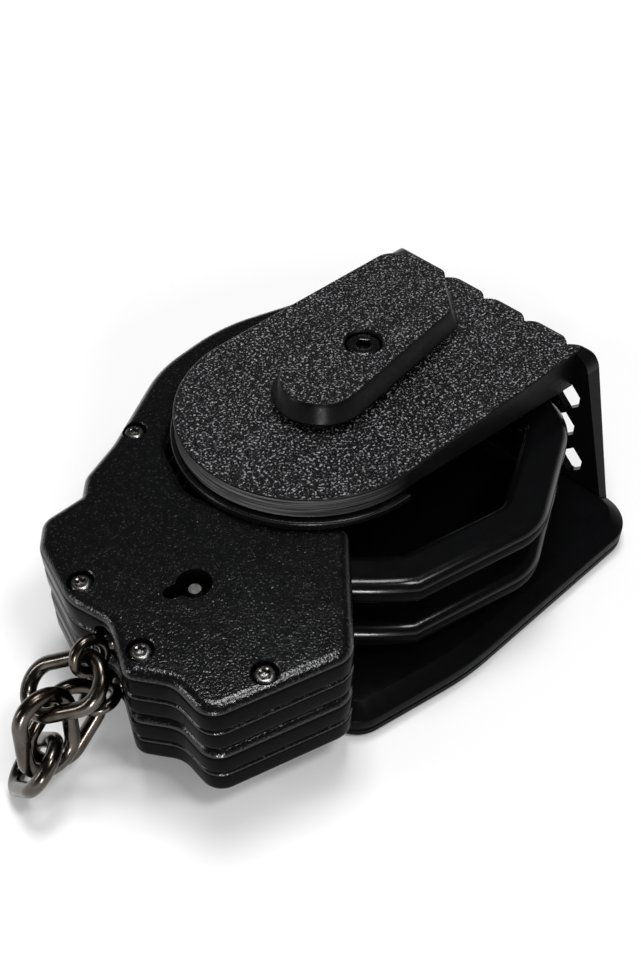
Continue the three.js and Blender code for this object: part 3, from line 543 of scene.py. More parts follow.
def piece(name, mesh, node, body, finish, crease=32):
    """A finished piece that stands for a CAD node, rides on its body and has its slot."""
    mesh = mesh.copy()
    mesh.name = name
    mesh.materials.clear()
    mesh.materials.append(material(finish))
    mesh.shade_smooth()
    mesh.set_sharp_from_angle(angle=math.radians(crease))
    made = put(name, mesh)
    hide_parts(node)
    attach(made, body)
    return made


def finish_walls(made, finish, steep=0.3):
    """Gives another finish to a piece's steep faces, whose normals rise less than a share."""
    made.data.materials.append(material(finish))
    for face in made.data.polygons:
        if abs(face.normal.z) < steep:
            face.material_index = 1


def shifted(mesh, x=0.0, y=0.0, z=0.0):
    """A copy of a mesh, moved by millimetres."""
    made = mesh.copy()
    made.transform(Matrix.Translation(Vector((x, y, z)) * MM))
    return made


# ---- Finishes ----


class Nodes:
    """Short ways to add nodes to a tree, where an input may be another node's output."""

    def __init__(self, tree):
        self.tree = tree

    def node(self, kind, inputs, **settings):
        made = self.tree.nodes.new(kind)
        for key, value in settings.items():
            setattr(made, key, value)
        for key, value in inputs.items():
            if isinstance(value, bpy.types.NodeSocket):
                self.tree.links.new(value, made.inputs[key])
            else:
                made.inputs[key].default_value = value
        return made

    def part(self, vector, axis):
        return self.node("ShaderNodeSeparateXYZ", {"Vector": vector}).outputs[axis]

    def math(self, operation, a, b):
        return self.node("ShaderNodeMath", {0: a, 1: b}, operation=operation).outputs[0]

    def ramp(self, value, low, high, low_out=0.0, high_out=1.0):
        ends = {"From Min": low, "From Max": high, "To Min": low_out, "To Max": high_out}
        return self.node("ShaderNodeMapRange", {"Value": value, **ends}).outputs[0]

    def mix(self, share, a, b):
        return self.node("ShaderNodeMix", {0: share, 6: a, 7: b}, data_type="RGBA").outputs[2]


class Finish(Nodes):
    """A material being made."""

    def __init__(self, name, base, roughness, metallic=0.0, specular=0.5):
        self.material = bpy.data.materials.new(name)
        self.material.use_nodes = True
        self.material.diffuse_color = (*base, 1)
        super().__init__(self.material.node_tree)
        self.shader = self.tree.nodes["Principled BSDF"]
        self.set("Base Color", (*base, 1))
        self.set("Roughness", roughness)
        self.set("Metallic", metallic)
        self.set("Specular IOR Level", specular)
        self.place = self.node("ShaderNodeTexCoord", {}).outputs["Object"]

    def set(self, socket, value):
        self.shader.inputs[socket].default_value = value

    def use(self, socket, source):
        self.tree.links.new(source, self.shader.inputs[socket])

    def stretched(self, scale):
        return self.node("ShaderNodeMapping", {"Vector": self.place, "Scale": scale}).outputs[0]

    def noise(self, size, detail=2.0, roughness=0.5, place=None):
        """Noise whose features are about as wide as size."""
        look = {"Scale": 1 / size, "Detail": detail, "Roughness": roughness}
        made = self.node("ShaderNodeTexNoise", {"Vector": place or self.place, **look})
        return made.outputs["Fac"]

    def height_above(self, z, blend=0.02):
        """1 above a height in millimetres and 0 below it, along Object Z."""
        return self.ramp(self.part(self.place, "Z"), (z - blend) * MM, z * MM)

    def bump(self, height, depth, strength=1.0):
        inputs = {"Height": height, "Distance": depth, "Strength": strength}
        return self.node("ShaderNodeBump", inputs).outputs["Normal"]


STEEL_TINT = (0.5, 0.44, 0.4)


def four(rgb, factor=1.0):
    return (*(value * factor for value in rgb), 1.0)


def moulded_polymer(name, base, roughness=0.33, specular=0.03):
    """Smooth moulded black: a faint mottle and fine pits."""
    finish = Finish(name, base, roughness, specular=specular)
    mottle, sheen, pits = (finish.noise(*look) for look in ((0.006, 4), (0.0016, 3), (0.0005, 3)))
    finish.use("Base Color", finish.mix(mottle, four(base, 0.75), four(base, 1.3)))
    finish.use("Roughness", finish.ramp(sheen, 0.3, 0.7, roughness - 0.06, roughness + 0.1))
    finish.use("Normal", finish.bump(pits, 0.00002, 0.7))
    return finish.material


def lined_polymer(name, settings):
    """Moulded black wall with a painted sheen: fine paler lines along its round end, where the low
    lamp falls.
    """
    finish = Finish(name, settings.polymer, 0.4, specular=0.06)
    lines = finish.noise(0.0016, 2, place=finish.stretched((0.1, 0.1, 8)))
    # painted sheen: full at the round end's tip, which faces the low lamp, and gone by the round's
    # centre
    worn = finish.ramp(finish.part(finish.place, "X"), SHEEN_TO_X * MM, ROUND_END_X * MM, 1, 0)
    share = finish.math("MULTIPLY", finish.ramp(lines, 0.35, 0.7), worn)
    finish.use("Base Color", finish.mix(share, four(settings.polymer), four(settings.worn)))
    finish.use("Normal", finish.bump(lines, 0.0001, 0.6))
    return finish.material


def grained_polymer(name, settings, top):
    """Moulded grain on the face at the top height, with a painted glint on its tips; plain black
    below it.
    """
    finish = Finish(name, settings.polymer, 0.33, specular=0.15)
    grained = finish.height_above(top)
    grain = finish.noise(settings.grain_size, 2, 0.6)
    patches = finish.noise(0.012, 3)
    # the grain's tips get a painted glint, a pale colour where they would catch the lamps
    tips = finish.ramp(grain, 0.56, 0.7)
    tone = finish.mix(tips, four(settings.polymer_grain), four(settings.painted_glint))
    tone = finish.mix(finish.math("MULTIPLY", patches, 0.5), tone, four(settings.polymer_grain))
    finish.use("Base Color", finish.mix(grained, four(settings.polymer), tone))
    finish.use("Normal", finish.bump(finish.math("MULTIPLY", grain, grained), settings.grain_depth))
    return finish.material


def satin_coat(name, settings, peel_depth, specular, specks=0.0):
    """Satin black coat on metal: a mottle, orange peel, and painted glints, fine paler dots on the
    peel's bumps.
    """
    finish = Finish(name, settings.coat, 0.24, specular=specular)
    mottle = finish.noise(0.009, 4)
    tone = finish.mix(mottle, four(settings.coat, 0.8), four(settings.coat, 1.25))
    peel = finish.noise(settings.coat_grain, 1, 0.5)
    if specks:
        # painted glints: a paler colour on the peel's raised bumps, where they would catch the
        # lamps
        share = finish.math("MULTIPLY", finish.ramp(peel, 0.62, 0.72), specks)
        tone = finish.mix(share, tone, four(settings.coat_glints))
    finish.use("Base Color", tone)
    finish.use("Roughness", finish.ramp(finish.noise(0.002, 3), 0.3, 0.7, 0.15, 0.21))
    finish.use("Normal", finish.bump(peel, peel_depth))
    return finish.material


def polished_steel(name, base, roughness, tint):
    """Polished steel: fine scratches, and a warmer tone in patches."""
    finish = Finish(name, base, roughness, metallic=1.0)
    patches = finish.noise(0.004, 4)
    finish.use("Base Color", finish.mix(finish.ramp(patches, 0.35, 0.7), four(base), four(tint)))
    scratches = finish.noise(0.0007, 4, 0.65, finish.stretched((1.0, 0.25, 1.0)))
    finish.use("Roughness", finish.ramp(scratches, 0.3, 0.75, roughness * 0.7, roughness * 1.5))
    finish.use("Normal", finish.bump(scratches, 0.00001, 0.5))
    return finish.material


def material(name):
    """The finish of that name, made once."""
    found = bpy.data.materials.get(name)
    if found:
        return found
    settings = bpy.context.scene.handcuff_finishes
    steel, screw_steel = settings.steel, settings.screw_steel
    tint = [value * shade for value, shade in zip(steel, STEEL_TINT)]
    makers = {
        "plate_grain": (grained_polymer, settings, PLATE_HIGH),
        "button_grain": (grained_polymer, settings, CAP_HIGH),
        "case_polymer": (moulded_polymer, settings.polymer),
        "lined_polymer": (lined_polymer, settings),
        "button_wall": (moulded_polymer, settings.polymer, 0.28, 0.09),
        "liner_polymer": (moulded_polymer, settings.polymer, 0.26, 0.3),
        "peeled_coat": (satin_coat, settings, 0.00008, 0.42, 1.0),
        "bow_coat": (satin_coat, settings, 0.00001, 0.25),
        # wall_coat: the coat again with almost no reflection, a shaded copy that paints the cuffs'
        # walls darker than their tops
        "wall_coat": (satin_coat, settings, 0.00002, 0.015),
        "wire_steel": (polished_steel, steel, 0.2, tint),
        "head_steel": (polished_steel, screw_steel, 0.26, screw_steel),
        "inner_steel": (polished_steel, settings.lock_steel, 0.38, screw_steel),
    }
    make, *looks = makers[name]
    return make(name, *looks)


# ---- The case ----


def base_outline():
    x, waist_r = BASE_WAIST
    return rounded([
        (BASE_X0, BASE_Y0 + BASE_TAPER, BASE_NEAR_R),
        (x, BASE_Y0, waist_r),
        (BASE_X1, BASE_Y0, BASE_FAR_R),
        (BASE_X1, BASE_Y1, BASE_FAR_R),
        (x, BASE_Y1, waist_r),
        (BASE_X0, BASE_Y1 - BASE_TAPER, BASE_NEAR_R),
    ])


def soft_profile(corners):
    """A profile of corners (inset, height, radius) with each one rounded."""
    return rounded(corners, closed=False)


def base_profile(soft):
    """The base's edge from its underside, up its side and over the bevel to its flat top."""
    return [(FOOT, BASE_LOW), *soft_profile([
        (FOOT, BASE_LOW, 0),
        (0, BASE_LOW + FOOT, 0.2),
        (0, BASE_HIGH - BEVEL_RISE, soft),
        (BEVEL, BASE_HIGH, soft),
        (BEVEL + 1.5, BASE_HIGH, 0),
    ])[1:]]


def lobed_back():
    """The back from above: circular lobes, the outermost two straight beyond their crests."""
    radius = (LOBE_W**2 / 4 + LOBE_DEPTH**2) / (2 * LOBE_DEPTH)
    half = math.asin(LOBE_W / 2 / radius)
    middles = (np.arange(LOBES) - (LOBES - 1) / 2) * LOBE_W + LOBE_SHIFT
    a = np.linspace(-half, half, 17)[:-1]
    row = np.concatenate([polar(radius, a, (BACK_CREST - radius, middle)) for middle in middles])
    row = row[(row[:, 1] >= middles[0]) & (row[:, 1] <= middles[-1])]
    far = BACK_Y1 + PAST
    ends = [[BACK_INSIDE_X, -far], [BACK_CREST, -far]], [[BACK_CREST, far], [BACK_INSIDE_X, far]]
    return np.concatenate([ends[0], row, ends[1]])


def back_outline(inset, low, high):
    """The back wall seen along X, drawn in by an inset: a trapezium with round shoulders."""
    rise = (np.array([low, high]) - BASE_HIGH) / (PLATE_HIGH - BASE_HIGH)
    right = BACK_Y0 + (BACK_TOP_Y[0] - BACK_Y0) * rise + inset
    left = BACK_Y1 + (BACK_TOP_Y[1] - BACK_Y1) * rise - inset
    return rounded([
        (right[0], low),
        (left[0], low),
        (left[1], high, PLATE_CORNER_R),
        (right[1], high, BACK_SHOULDER_R),
    ])


def lattice_cells():
    """The wall's rows of six-sided openings."""
    sixths = np.array([(0, -3), (3, -1), (3, 1), (0, 3), (-3, 1), (-3, -1)])
    shape = sixths / 6 * (CELL_W, CELL_H)
    return [
        along_x(shape + (y, z), BACK_INSIDE_X - PAST, BACK_CREST + PAST)
        for z, reach in CELL_ROWS
        for y in reach * np.linspace(-1, 1, CELLS)
    ]


def back_wall():
    """The lobed back, leaning in to its foot, hollow from outside and pierced by its lattice."""
    foot = BASE_HIGH - BEVEL_RISE
    side = rounded([
        (BACK_INSIDE_X - PAST, foot - PAST),
        (BACK_LOW_X, foot - PAST),
        (BACK_LOW_X, BASE_HIGH, 3),
        (BACK_CREST, PLATE_HIGH - 2 * BEND_R, 3),
        (BACK_CREST, PLATE_HIGH, BEND_R),
        (BACK_INSIDE_X - PAST, PLATE_HIGH),
    ])
    wall = mesh_of(along_x(back_outline(0, foot, PLATE_HIGH), BACK_INSIDE_X, BACK_CREST))
    wall = put_together(wall, [
        prism(lobed_back(), 0, PLATE_HIGH + PAST),
        along_y(side, BACK_Y0 - PAST, BACK_Y1 + PAST),
    ], "INTERSECT")
    hollow = along_x(
        back_outline(BACK_POST_W, BASE_HIGH + BACK_RIM, PLATE_LOW - BACK_RIM),
        BACK_INSIDE_X + BACK_WEB_T,
        BACK_CREST + PAST,
    )
    return cut(wall, [hollow, *lattice_cells(), slab(base_outline(), base_profile(0.6))])


def gusset(low, y):
    """The web under the plate's edge, deeper towards the back wall."""
    near, far, high = GUSSET_START_X, BACK_INSIDE_X + BACK_WEB_T / 2, PLATE_LOW + 2
    web = np.array([(near, PLATE_LOW), (far, low), (far, high), (near, high)])
    return along_y(web, y, y + GUSSET_T)


class HANDCUFF_OT_front(bpy.types.Operator):
    """The grained plate with its round end, its two webs and the lobed, pierced back wall"""

    bl_idname = "handcuff.front"
    bl_label = "Plate and back"

    def execute(self, context):
        edge = context.scene.handcuff_rounds.plate_edge / MM
        plan = rounded([
            (PLATE_X0, -PLATE_HALF_W, PLATE_HALF_W),
            (PLATE_FAR_X, -PLATE_HALF_W),
            (PLATE_FAR_X, PLATE_HALF_W, PLATE_CORNER_R),
            (PLATE_X0, PLATE_HALF_W, PLATE_HALF_W),
        ])
        plate = mesh_of(rounded_slab(plan, PLATE_LOW, PLATE_HIGH, edge, edge))
        plate = join(plate, [
            solid_of(back_wall()),
            gusset(PLATE_LOW - GUSSET_DROP, -PLATE_HALF_W),
            gusset(LINER_LOW, PLATE_HALF_W - GUSSET_T),
        ])
        plate = cut(plate, [
            prism(circle(NUT_R, (0, SCREW_Y)), PLATE_LOW - PAST, PLATE_LOW + NUT_DEPTH),
            prism(circle(SHANK_R + BORE_GAP, (0, SCREW_Y)), PLATE_LOW - PAST, PLATE_HIGH + PAST),
        ])
        made = piece("plate_and_back", plate, "front_shell", "case", "plate_grain")
        finish_walls(made, "lined_polymer")
        return {"FINISHED"}


class HANDCUFF_OT_base(bpy.types.Operator):
    """The bevelled base with the belt plate under it"""

    bl_idname = "handcuff.base"
    bl_label = "Base"

    def execute(self, context):
        soft = context.scene.handcuff_rounds.base_edge / MM
        spots = [(i * BELT_SCREW_AT[0], j * BELT_SCREW_AT[1]) for i in (-1, 1) for j in (-1, 1)]
        base = mesh_of(slab(base_outline(), base_profile(soft)))
        holes = [circle(BELT_HOLE_R, at, 24) for at in spots]
        low, roof = BASE_LOW - PAST, BASE_HIGH - BELT_HOLE_ROOF
        base = cut(base, [prism(hole, low, roof) for hole in holes])
        piece("bevelled_base", base, "base_shell", "case", "case_polymer")
        plate = mesh_of(slab(base_outline(), [
            (1.2, BELT_LOW),
            *soft_profile([(0.8, BELT_LOW, 0), (0, BELT_LOW + 0.8, 0.5), (0, BELT_HIGH - FOOT, 0)]),
            (FOOT, BELT_HIGH),
        ]))
        low, sunk = BELT_LOW - PAST, BELT_LOW + BELT_SINK_DEPTH
        sinks = [prism(circle(BELT_SINK_R, at, 40), low, sunk) for at in spots]
        plate = cut(plate, [*(prism(hole, low, BELT_HIGH + PAST) for hole in holes), *sinks])
        piece("belt_side_plate", plate, "belt_plate", "case", "case_polymer")
        return {"FINISHED"}


class HANDCUFF_OT_liner(bpy.types.Operator):
    """The smooth liner under the plate that the cuffs slide against"""

    bl_idname = "handcuff.liner"
    bl_label = "Liner"

    def execute(self, context):
        half = PLATE_HALF_W - GUSSET_T - RUN_GAP
        disc = polar(LINER_R, np.linspace(np.pi / 2, 3 * np.pi / 2, 49), (ROUND_END_X, 0))
        near, far = ROUND_END_X + 0.01, BACK_INSIDE_X - 6
        tail = [(near, -half), (far, -half), (far, half), (near, half)]
        high = LINER_LOW + (PLATE_LOW - LINER_LOW) * LINER_LIP
        profile = soft_profile([
            (1.2, LINER_LOW, 0),
            (0, LINER_LOW, 0.5),
            (0, high, 0.5),
            (LINER_NECK_INSET, high, 0),
            (LINER_NECK_INSET, PLATE_LOW, 0),
        ])
        liner = mesh_of(slab(np.concatenate([disc, tail]), profile))
        liner = cut(liner, [prism(circle(3, (0, SCREW_Y)), LINER_LOW - PAST, PLATE_LOW + PAST)])
        piece("cuff_liner", liner, "grip_liner", "case", "liner_polymer")
        return {"FINISHED"}


# ---- The turn-button ----


def button_outline():
    """The button from above: a half-round near end and a far end with two sloping shoulders."""
    return rounded([
        (-BUTTON_NEAR, -BUTTON_HALF_W, BUTTON_HALF_W),
        (BUTTON_FAR - BUTTON_SHOULDER, -BUTTON_HALF_W, BUTTON_BEND_R),
        (BUTTON_FAR, -BUTTON_HALF_W / 4, BUTTON_END_R),
        (BUTTON_FAR, BUTTON_HALF_W / 4, BUTTON_END_R),
        (BUTTON_FAR - BUTTON_SHOULDER, BUTTON_HALF_W, BUTTON_BEND_R),
        (-BUTTON_NEAR, BUTTON_HALF_W, BUTTON_HALF_W),
    ])


class HANDCUFF_OT_button(bpy.types.Operator):
    """The flared turn-button, its spacer and its socket screw"""

    bl_idname = "handcuff.button"
    bl_label = "Turn-button"

    def execute(self, context):
        edge = context.scene.handcuff_rounds.cap_edge / MM
        turn, at = about_z(BUTTON_TURN), (0, SCREW_Y, 0)
        sink = SCREW_HIGH - HEAD_T - WASHER_T
        bore = circle(SHANK_R + BORE_GAP)

        def place(made):
            return moved(made, at, turn)

        cap = mesh_of(place(slab(button_outline(), soft_profile([
            (1.6, CAP_LOW, 0),
            (0.5, CAP_LOW, 0),
            (0, CAP_LOW + 0.5, 0.5),
            (BUTTON_FLARE * 0.8, CAP_HIGH - 0.7, 1),
            (BUTTON_FLARE, CAP_HIGH, edge),
            (BUTTON_FLARE + 0.6, CAP_HIGH, 0),
        ]))))
        well = slab(
            circle(HEAD_R + HEAD_ROOM),
            [(0, sink), (0, CAP_HIGH - 0.35), (-0.35, CAP_HIGH), (-0.5, CAP_HIGH + PAST)],
        )
        cap = cut(cap, [place(well), place(prism(bore, CAP_LOW - PAST, CAP_HIGH))])
        body, slot = "turn_button", "grained_polymer"
        made = piece("button_cap_moulded", cap, "button_cap", body, "button_grain")
        finish_walls(made, "button_wall", 0.6)
        spacer = mesh_of(place(prism(grown(button_outline(), -SPACER_INSET), SPACER_LOW, CAP_LOW)))
        spacer = cut(spacer, [place(prism(bore, SPACER_LOW - PAST, CAP_LOW + PAST))])
        slot = "smooth_polymer"
        piece("button_spacer_disc", spacer, "button_spacer", body, "case_polymer")
        shank, head, top = SHANK_R, HEAD_R, SCREW_HIGH
        screw = mesh_of(place(turned([
            (shank - 0.4, SCREW_LOW), (shank, SCREW_LOW + 0.4), (shank, top - HEAD_T),
            (head, top - HEAD_T), (head, top - 0.45), (head - 0.12, top - 0.15), (head - 0.4, top),
            (head * 0.56, top), (head * 0.5, top - 0.15, hexagon),
            (head * 0.5, top - HEAD_T * 0.7, hexagon), (0.2, top - HEAD_T * 0.7 - 0.3),
        ], 72)))
        piece("button_socket_screw", screw, "button_screw", body, "peeled_coat")
        return {"FINISHED"}


# ---- The handcuffs ----


def shell_outline():
    """Both shells from above: the lock body, and the double strand up to the pivot's boss."""
    inner = BOW_SLOT[0] - LOCK_WALL
    arc = [(*ray(inner, LOCK_FACE - k), 0) for k in (0, *range(6, 25, 2))]
    boss = BOSS_R - 0.1
    return rounded([
        LOCK_CORNER,
        (*arc[0][:2], LOCK_FACE_END_R),
        *arc[1:],
        *STRAND_INSIDE,
        (-BOSS_R, -BOSS_R, boss),
        (BOSS_R, -BOSS_R, boss),
        (BOSS_R, BOSS_R, boss),
        *STRAND_OUTSIDE,
        *LOCK_SIDE,
    ])


def sector(inner, outer, start, end, low, high):
    """A sector of a ring round the pivot, between two radii and two angles."""
    a = np.radians(np.linspace(min(start, end), max(start, end), max(4, int(abs(end - start)))))
    return prism(np.concatenate([polar(outer, a), polar(inner, a[::-1])]), low, high)


def shell_tools():
    """What is cut from both shells: slot, pivot, keyhole, lock pockets and the fasteners' seats."""
    low, high = BOW_LOW - RUN_GAP, BOW_LOW + BOW_T + RUN_GAP
    mouth = SWIVEL_MOUTH_X
    seat = RIVET_HEAD_T + RIVET_SINK + RUN_GAP
    pawl_eye = ray(*PAWL_EYE)
    bar_x, bar_y, bar_z = LOCK_BAR_POCKET
    bar = SQUARE * (bar_x, bar_y) + LOCK_BAR_AT
    tools = [
        sector(*BOW_SLOT, SLOT_END, LOCK_FACE + 3, low, high),
        prism(circle(BOW_EYE_R + RUN_GAP), low, high),
        sector(0.5, BOSS_R + 4, *PIVOT_GAP, low, high),
        prism(circle(KEYHOLE_R, KEYHOLE), LOCK_FLOOR, CUFF_T + PAST),
        prism(stadium(KEYHOLE, KEY_SLOT_END, KEY_SLOT_R), LOCK_FLOOR, CUFF_T + PAST),
        sector(*PAWL_POCKET, LOCK_FLOOR, CUFF_T - LOCK_FLOOR),
        prism(circle(2.5, pawl_eye, 32), LOCK_FLOOR, CUFF_T - LOCK_FLOOR),
        prism(circle(PIN_HOLE_R, pawl_eye, 24), PIN_HOLE_END, CUFF_T - PIN_HOLE_END),
        prism(circle(KEY_POST_R + 0.1, KEYHOLE, 24), LOCK_FLOOR - 2.7, MID),
        prism(bar, MID - bar_z, MID + bar_z),
        along_x(circle(SWIVEL_HEAD_R + RUN_GAP, (SWIVEL_Y, MID)), mouth - 8, mouth + PAST),
        along_x(circle(NECK_R + NECK_ROOM, (SWIVEL_Y, MID), 32), mouth, mouth + 4),
        prism(circle(RIVET_R + RUN_GAP), -PAST, CUFF_T + PAST),
        prism(circle(RIVET_HEAD_R + HEAD_ROOM), -PAST, seat),
        prism(circle(RIVET_HEAD_R + HEAD_ROOM), CUFF_T - seat, CUFF_T + PAST),
    ]
    sink = CUFF_HEAD_SINK + CUFF_HEAD_T
    for at in CUFF_SCREWS:
        seat = [(0, CUFF_T - sink), (0, CUFF_T - 0.25), (-0.25, CUFF_T), (-0.3, CUFF_T + PAST)]
        tools.append(slab(circle(CUFF_HEAD_R + HEAD_ROOM, at, 40), seat))
        tools.append(prism(circle(CUFF_SHANK_R + BORE_GAP, at, 20), 2.5, CUFF_T))
    return tools


class HANDCUFF_OT_shells(bpy.types.Operator):
    """The lock bodies and double strands, two shells to a cuff with a fine groove between them"""

    bl_idname = "handcuff.shells"
    bl_label = "Cuff shells"

    def execute(self, context):
        rounds = context.scene.handcuff_rounds
        shoulder, groove = rounds.shell / MM, rounds.groove / MM
        outline, tools = shell_outline(), shell_tools()
        halves = {
            "lower": cut(mesh_of(rounded_slab(outline, 0, MID, shoulder, groove)), tools),
            "upper": cut(mesh_of(rounded_slab(outline, MID, CUFF_T, groove, shoulder)), tools),
        }
        for which in CUFFS:
            for half, mesh in halves.items():
                placed = shifted(mesh, *PIVOT, CUFF_LOW[which])
                body = f"{which}_cuff"
                name, node = f"{body}_{half}_half", f"{body}_{half}_shell"
                made = piece(name, placed, node, body, "peeled_coat")
                # the shells' walls get the shaded copy of the coat, a painted shade
                finish_walls(made, "wall_coat")
        return {"FINISHED"}


class HANDCUFF_OT_bows(bpy.types.Operator):
    """The single bows: a bar with round edges, its pivot eye and the ratchet teeth near its tip"""

    bl_idname = "handcuff.bows"
    bl_label = "Bows"

    def execute(self, context):
        arc = [(*ray(BOW_ARC_R, deg), 0) for deg in np.linspace(BOW_TIP, BOW_ARC_END, 16)]
        bar = strip(rounded([*arc, *BOW_CORNERS], closed=False), BOW_W)
        high = BOW_LOW + BOW_T
        eye = circle(BOW_EYE_R, sides=96)
        bar, eye = (rounded_slab(flat, BOW_LOW, high, BOW_ROUND, BOW_ROUND) for flat in (bar, eye))
        mesh = join(mesh_of(bar), [eye])
        rim = BOW_ARC_R + BOW_W / 2
        out = rim + PAST
        notches = []
        for deg in BOW_TIP + 1 + TOOTH_PITCH * np.arange(TEETH):
            ends = (rim - TOOTH_DEPTH, deg), (out, deg), (out, deg + TOOTH_SLANT * TOOTH_PITCH)
            notch = np.array([ray(*end) for end in ends])
            notches.append(prism(notch, BOW_LOW - PAST, high + PAST))
        mesh = cut(mesh, [*notches, prism(circle(RIVET_R + RUN_GAP), -PAST, CUFF_T + PAST)])
        for which in CUFFS:
            placed = shifted(mesh, *PIVOT, CUFF_LOW[which])
            name, node = f"{which}_toothed_bow", f"{which}_cuff_bow"
            made = piece(name, placed, node, f"{which}_bow", "bow_coat")
            # the bows' walls get the shaded copy of the coat, a painted shade
            finish_walls(made, "wall_coat")
        return {"FINISHED"}


class HANDCUFF_OT_fasteners(bpy.types.Operator):
    """The cuffs' small screws and pivot rivets, and the screws in the belt plate"""

    bl_idname = "handcuff.fasteners"
    bl_label = "Screws and rivets"

    def execute(self, context):
        top = CUFF_T - CUFF_HEAD_SINK
        under = top - CUFF_HEAD_T
        end, r, shank = under - CUFF_SCREW_LENGTH, CUFF_HEAD_R, CUFF_SHANK_R
        screw = mesh_of(turned([
            (shank - 0.3, end), (shank, end + 0.3), (shank, under), (r, under), (r, top - 0.55),
            (r - 0.1, top - 0.38), (r - 0.45, top - 0.08), (r - 0.65, top), (r * 0.52, top),
            (r * 0.44, top - 0.12, star), (r * 0.42, top - 0.85, star), (0.15, top - 0.95),
        ], 72))
        low, high, rise = RIVET_SINK, CUFF_T - RIVET_SINK, RIVET_HEAD_T
        head, shank = RIVET_HEAD_R, RIVET_R
        rivet = mesh_of(turned([
            (head - 0.5, low), (head - 0.12, low + 0.15), (head, low + 0.5), (head, low + rise),
            (shank, low + rise), (shank, high - rise), (head, high - rise), (head, high - 0.5),
            (head - 0.12, high - 0.15), (head - 0.5, high), (head - 1.2, high),
            (head - 1.5, high - 0.2), (0.3, high - 0.25),
        ], 72))
        for which in CUFFS:
            body, z = f"{which}_cuff", CUFF_LOW[which]
            for i, (x, y) in enumerate(CUFF_SCREWS):
                placed = shifted(screw, PIVOT[0] + x, PIVOT[1] + y, z)
                node = f"{which}_cuff_screw_{i + 1}"
                piece(f"{node}_turned", placed, node, body, "head_steel")
            node = f"{which}_cuff_pivot_rivet"
            placed = shifted(rivet, *PIVOT, z)
            piece(f"{node}_turned", placed, node, body, "peeled_coat")
        for i in range(4):
            node = f"belt_screw_{i + 1}"
            (x0, x1), (y0, y1), (z0, z1) = (span(node, axis) for axis in range(3))
            belt_screw = turned([
                (0.2, z0 + 0.85), (0.95, z0 + 0.75, star), (1.0, z0 + 0.1, star), (1.2, z0),
                (2, z0), (2.3, z0 + 0.15), (2.37, z0 + 0.4), (2.37, z0 + 1.3), (1.22, z0 + 1.3),
                (1.22, z1 - 0.3), (0.9, z1),
            ])
            placed = mesh_of(moved(belt_screw, ((x0 + x1) / 2, (y0 + y1) / 2, 0)))
            piece(f"{node}_turned", placed, node, "case", "head_steel")
        return {"FINISHED"}


# ---- The chain ----


def node_points(node):
    return solid_of(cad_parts[node].data)[0]


def axes_of(points):
    """A flat ring's centre and its long, short and normal axes, from the spread of its points."""
    centre = (points.min(axis=0) + points.max(axis=0)) / 2
    spread = np.linalg.svd(points - points.mean(axis=0), full_matrices=False)[2]
    spread[2] = np.cross(spread[0], spread[1])
    return centre, spread.T


class HANDCUFF_OT_chain(bpy.types.Operator):
    """The two swivels and the links between them, each where its solid lies"""

    bl_idname = "handcuff.chain"
    bl_label = "Chain"

    def execute(self, context):
        reach, half = LINK_LENGTH / 2 - WIRE_R, LINK_WIDTH / 2 - WIRE_R
        path = rounded([(*corner, half) for corner in SQUARE * (reach, half)])
        link = ring_of_wire(path, WIRE_R)
        for i in range(4):
            node = f"chain_link_{i + 1}"
            centre, turn = axes_of(node_points(node))
            mesh = mesh_of(moved(link, centre, turn))
            piece(f"{node}_wire", mesh, node, f"link_{i + 1}", "wire_steel", 180)
        for which in CUFFS:
            self.swivel(which)
        return {"FINISHED"}

    def swivel(self, which):
        node = f"{which}_cuff_swivel"
        at = np.array([PIVOT[0], PIVOT[1] + SWIVEL_Y, CUFF_LOW[which] + MID])
        points = node_points(node) - at
        ring = points[points[:, 0] < EYE_X - 1]
        normal = np.linalg.svd(ring - ring.mean(axis=0), full_matrices=False)[2][2]
        normal[0] = 0
        normal /= np.linalg.norm(normal)
        turn = np.column_stack([(1, 0, 0), np.cross(normal, (1, 0, 0)), normal])
        eye = moved(ring_of_wire(circle(EYE_R), EYE_WIRE_R), (EYE_X, 0, 0))
        points, faces = turned([
            (NECK_R * 0.55, 0.4), (NECK_R * 0.8, 0.9), (NECK_R, 1.6), (NECK_R, 7.2),
            (3.3, 7.7), (3.35, 10.2), (3.0, 10.4),
        ], 40)
        neck = (points[:, [2, 0, 1]] + (EYE_X + EYE_R, 0, 0), faces)
        mesh = join(mesh_of(eye), [neck])
        mesh.transform(Matrix(turn.tolist()).to_4x4())
        mesh = shifted(mesh, *at)
        piece(f"{node}_eye", mesh, node, f"{which}_swivel", "wire_steel", 40)


class HANDCUFF_OT_inner(bpy.types.Operator):
    """Finishes for the washer and the inner pieces, which keep their solids"""

    bl_idname = "handcuff.inner"
    bl_label = "Inner pieces"

    def execute(self, context):
        for name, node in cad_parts.items():
            if not node.hide_render:
                finish = "wall_coat" if name == "button_washer" else "inner_steel"
                node.data.materials.clear()
                node.data.materials.append(material(finish))
        return {"FINISHED"}


# ---- The studio ----


# Each lamp's place, what it faces, and its width and height, in metres
LAMPS = {
    "key": ((0.04, 0.065, 0.65), (-0.04, -0.02, 0.02), (0.2, 0.2)),
    "shoulder": ((-0.01, -0.29, 0.6), (-0.06, -0.03, 0.03), (0.12, 0.12)),
    "low": ((-0.5, -0.52, 0.16), (-0.04, -0.02, 0.03), (0.1, 0.14)),
    "side": ((-0.6, 0.3, 0.3), (-0.05, 0, 0.02), (0.08, 0.2)),
}
CAMERA_AT = (-0.135735, -0.126626, 0.18908)
CAMERA_AIM = (-0.03, -0.0173, 0.0399)
FLOOR_REACH = 3.0
GLOW_REACH = (0.09, 0.3)  # the distances between which the floor's glow rises
GLOW = (0.05, 0.7)
WALL_RISE = (0.08, 0.34)  # the sines of the angles between which walls turn to ceiling


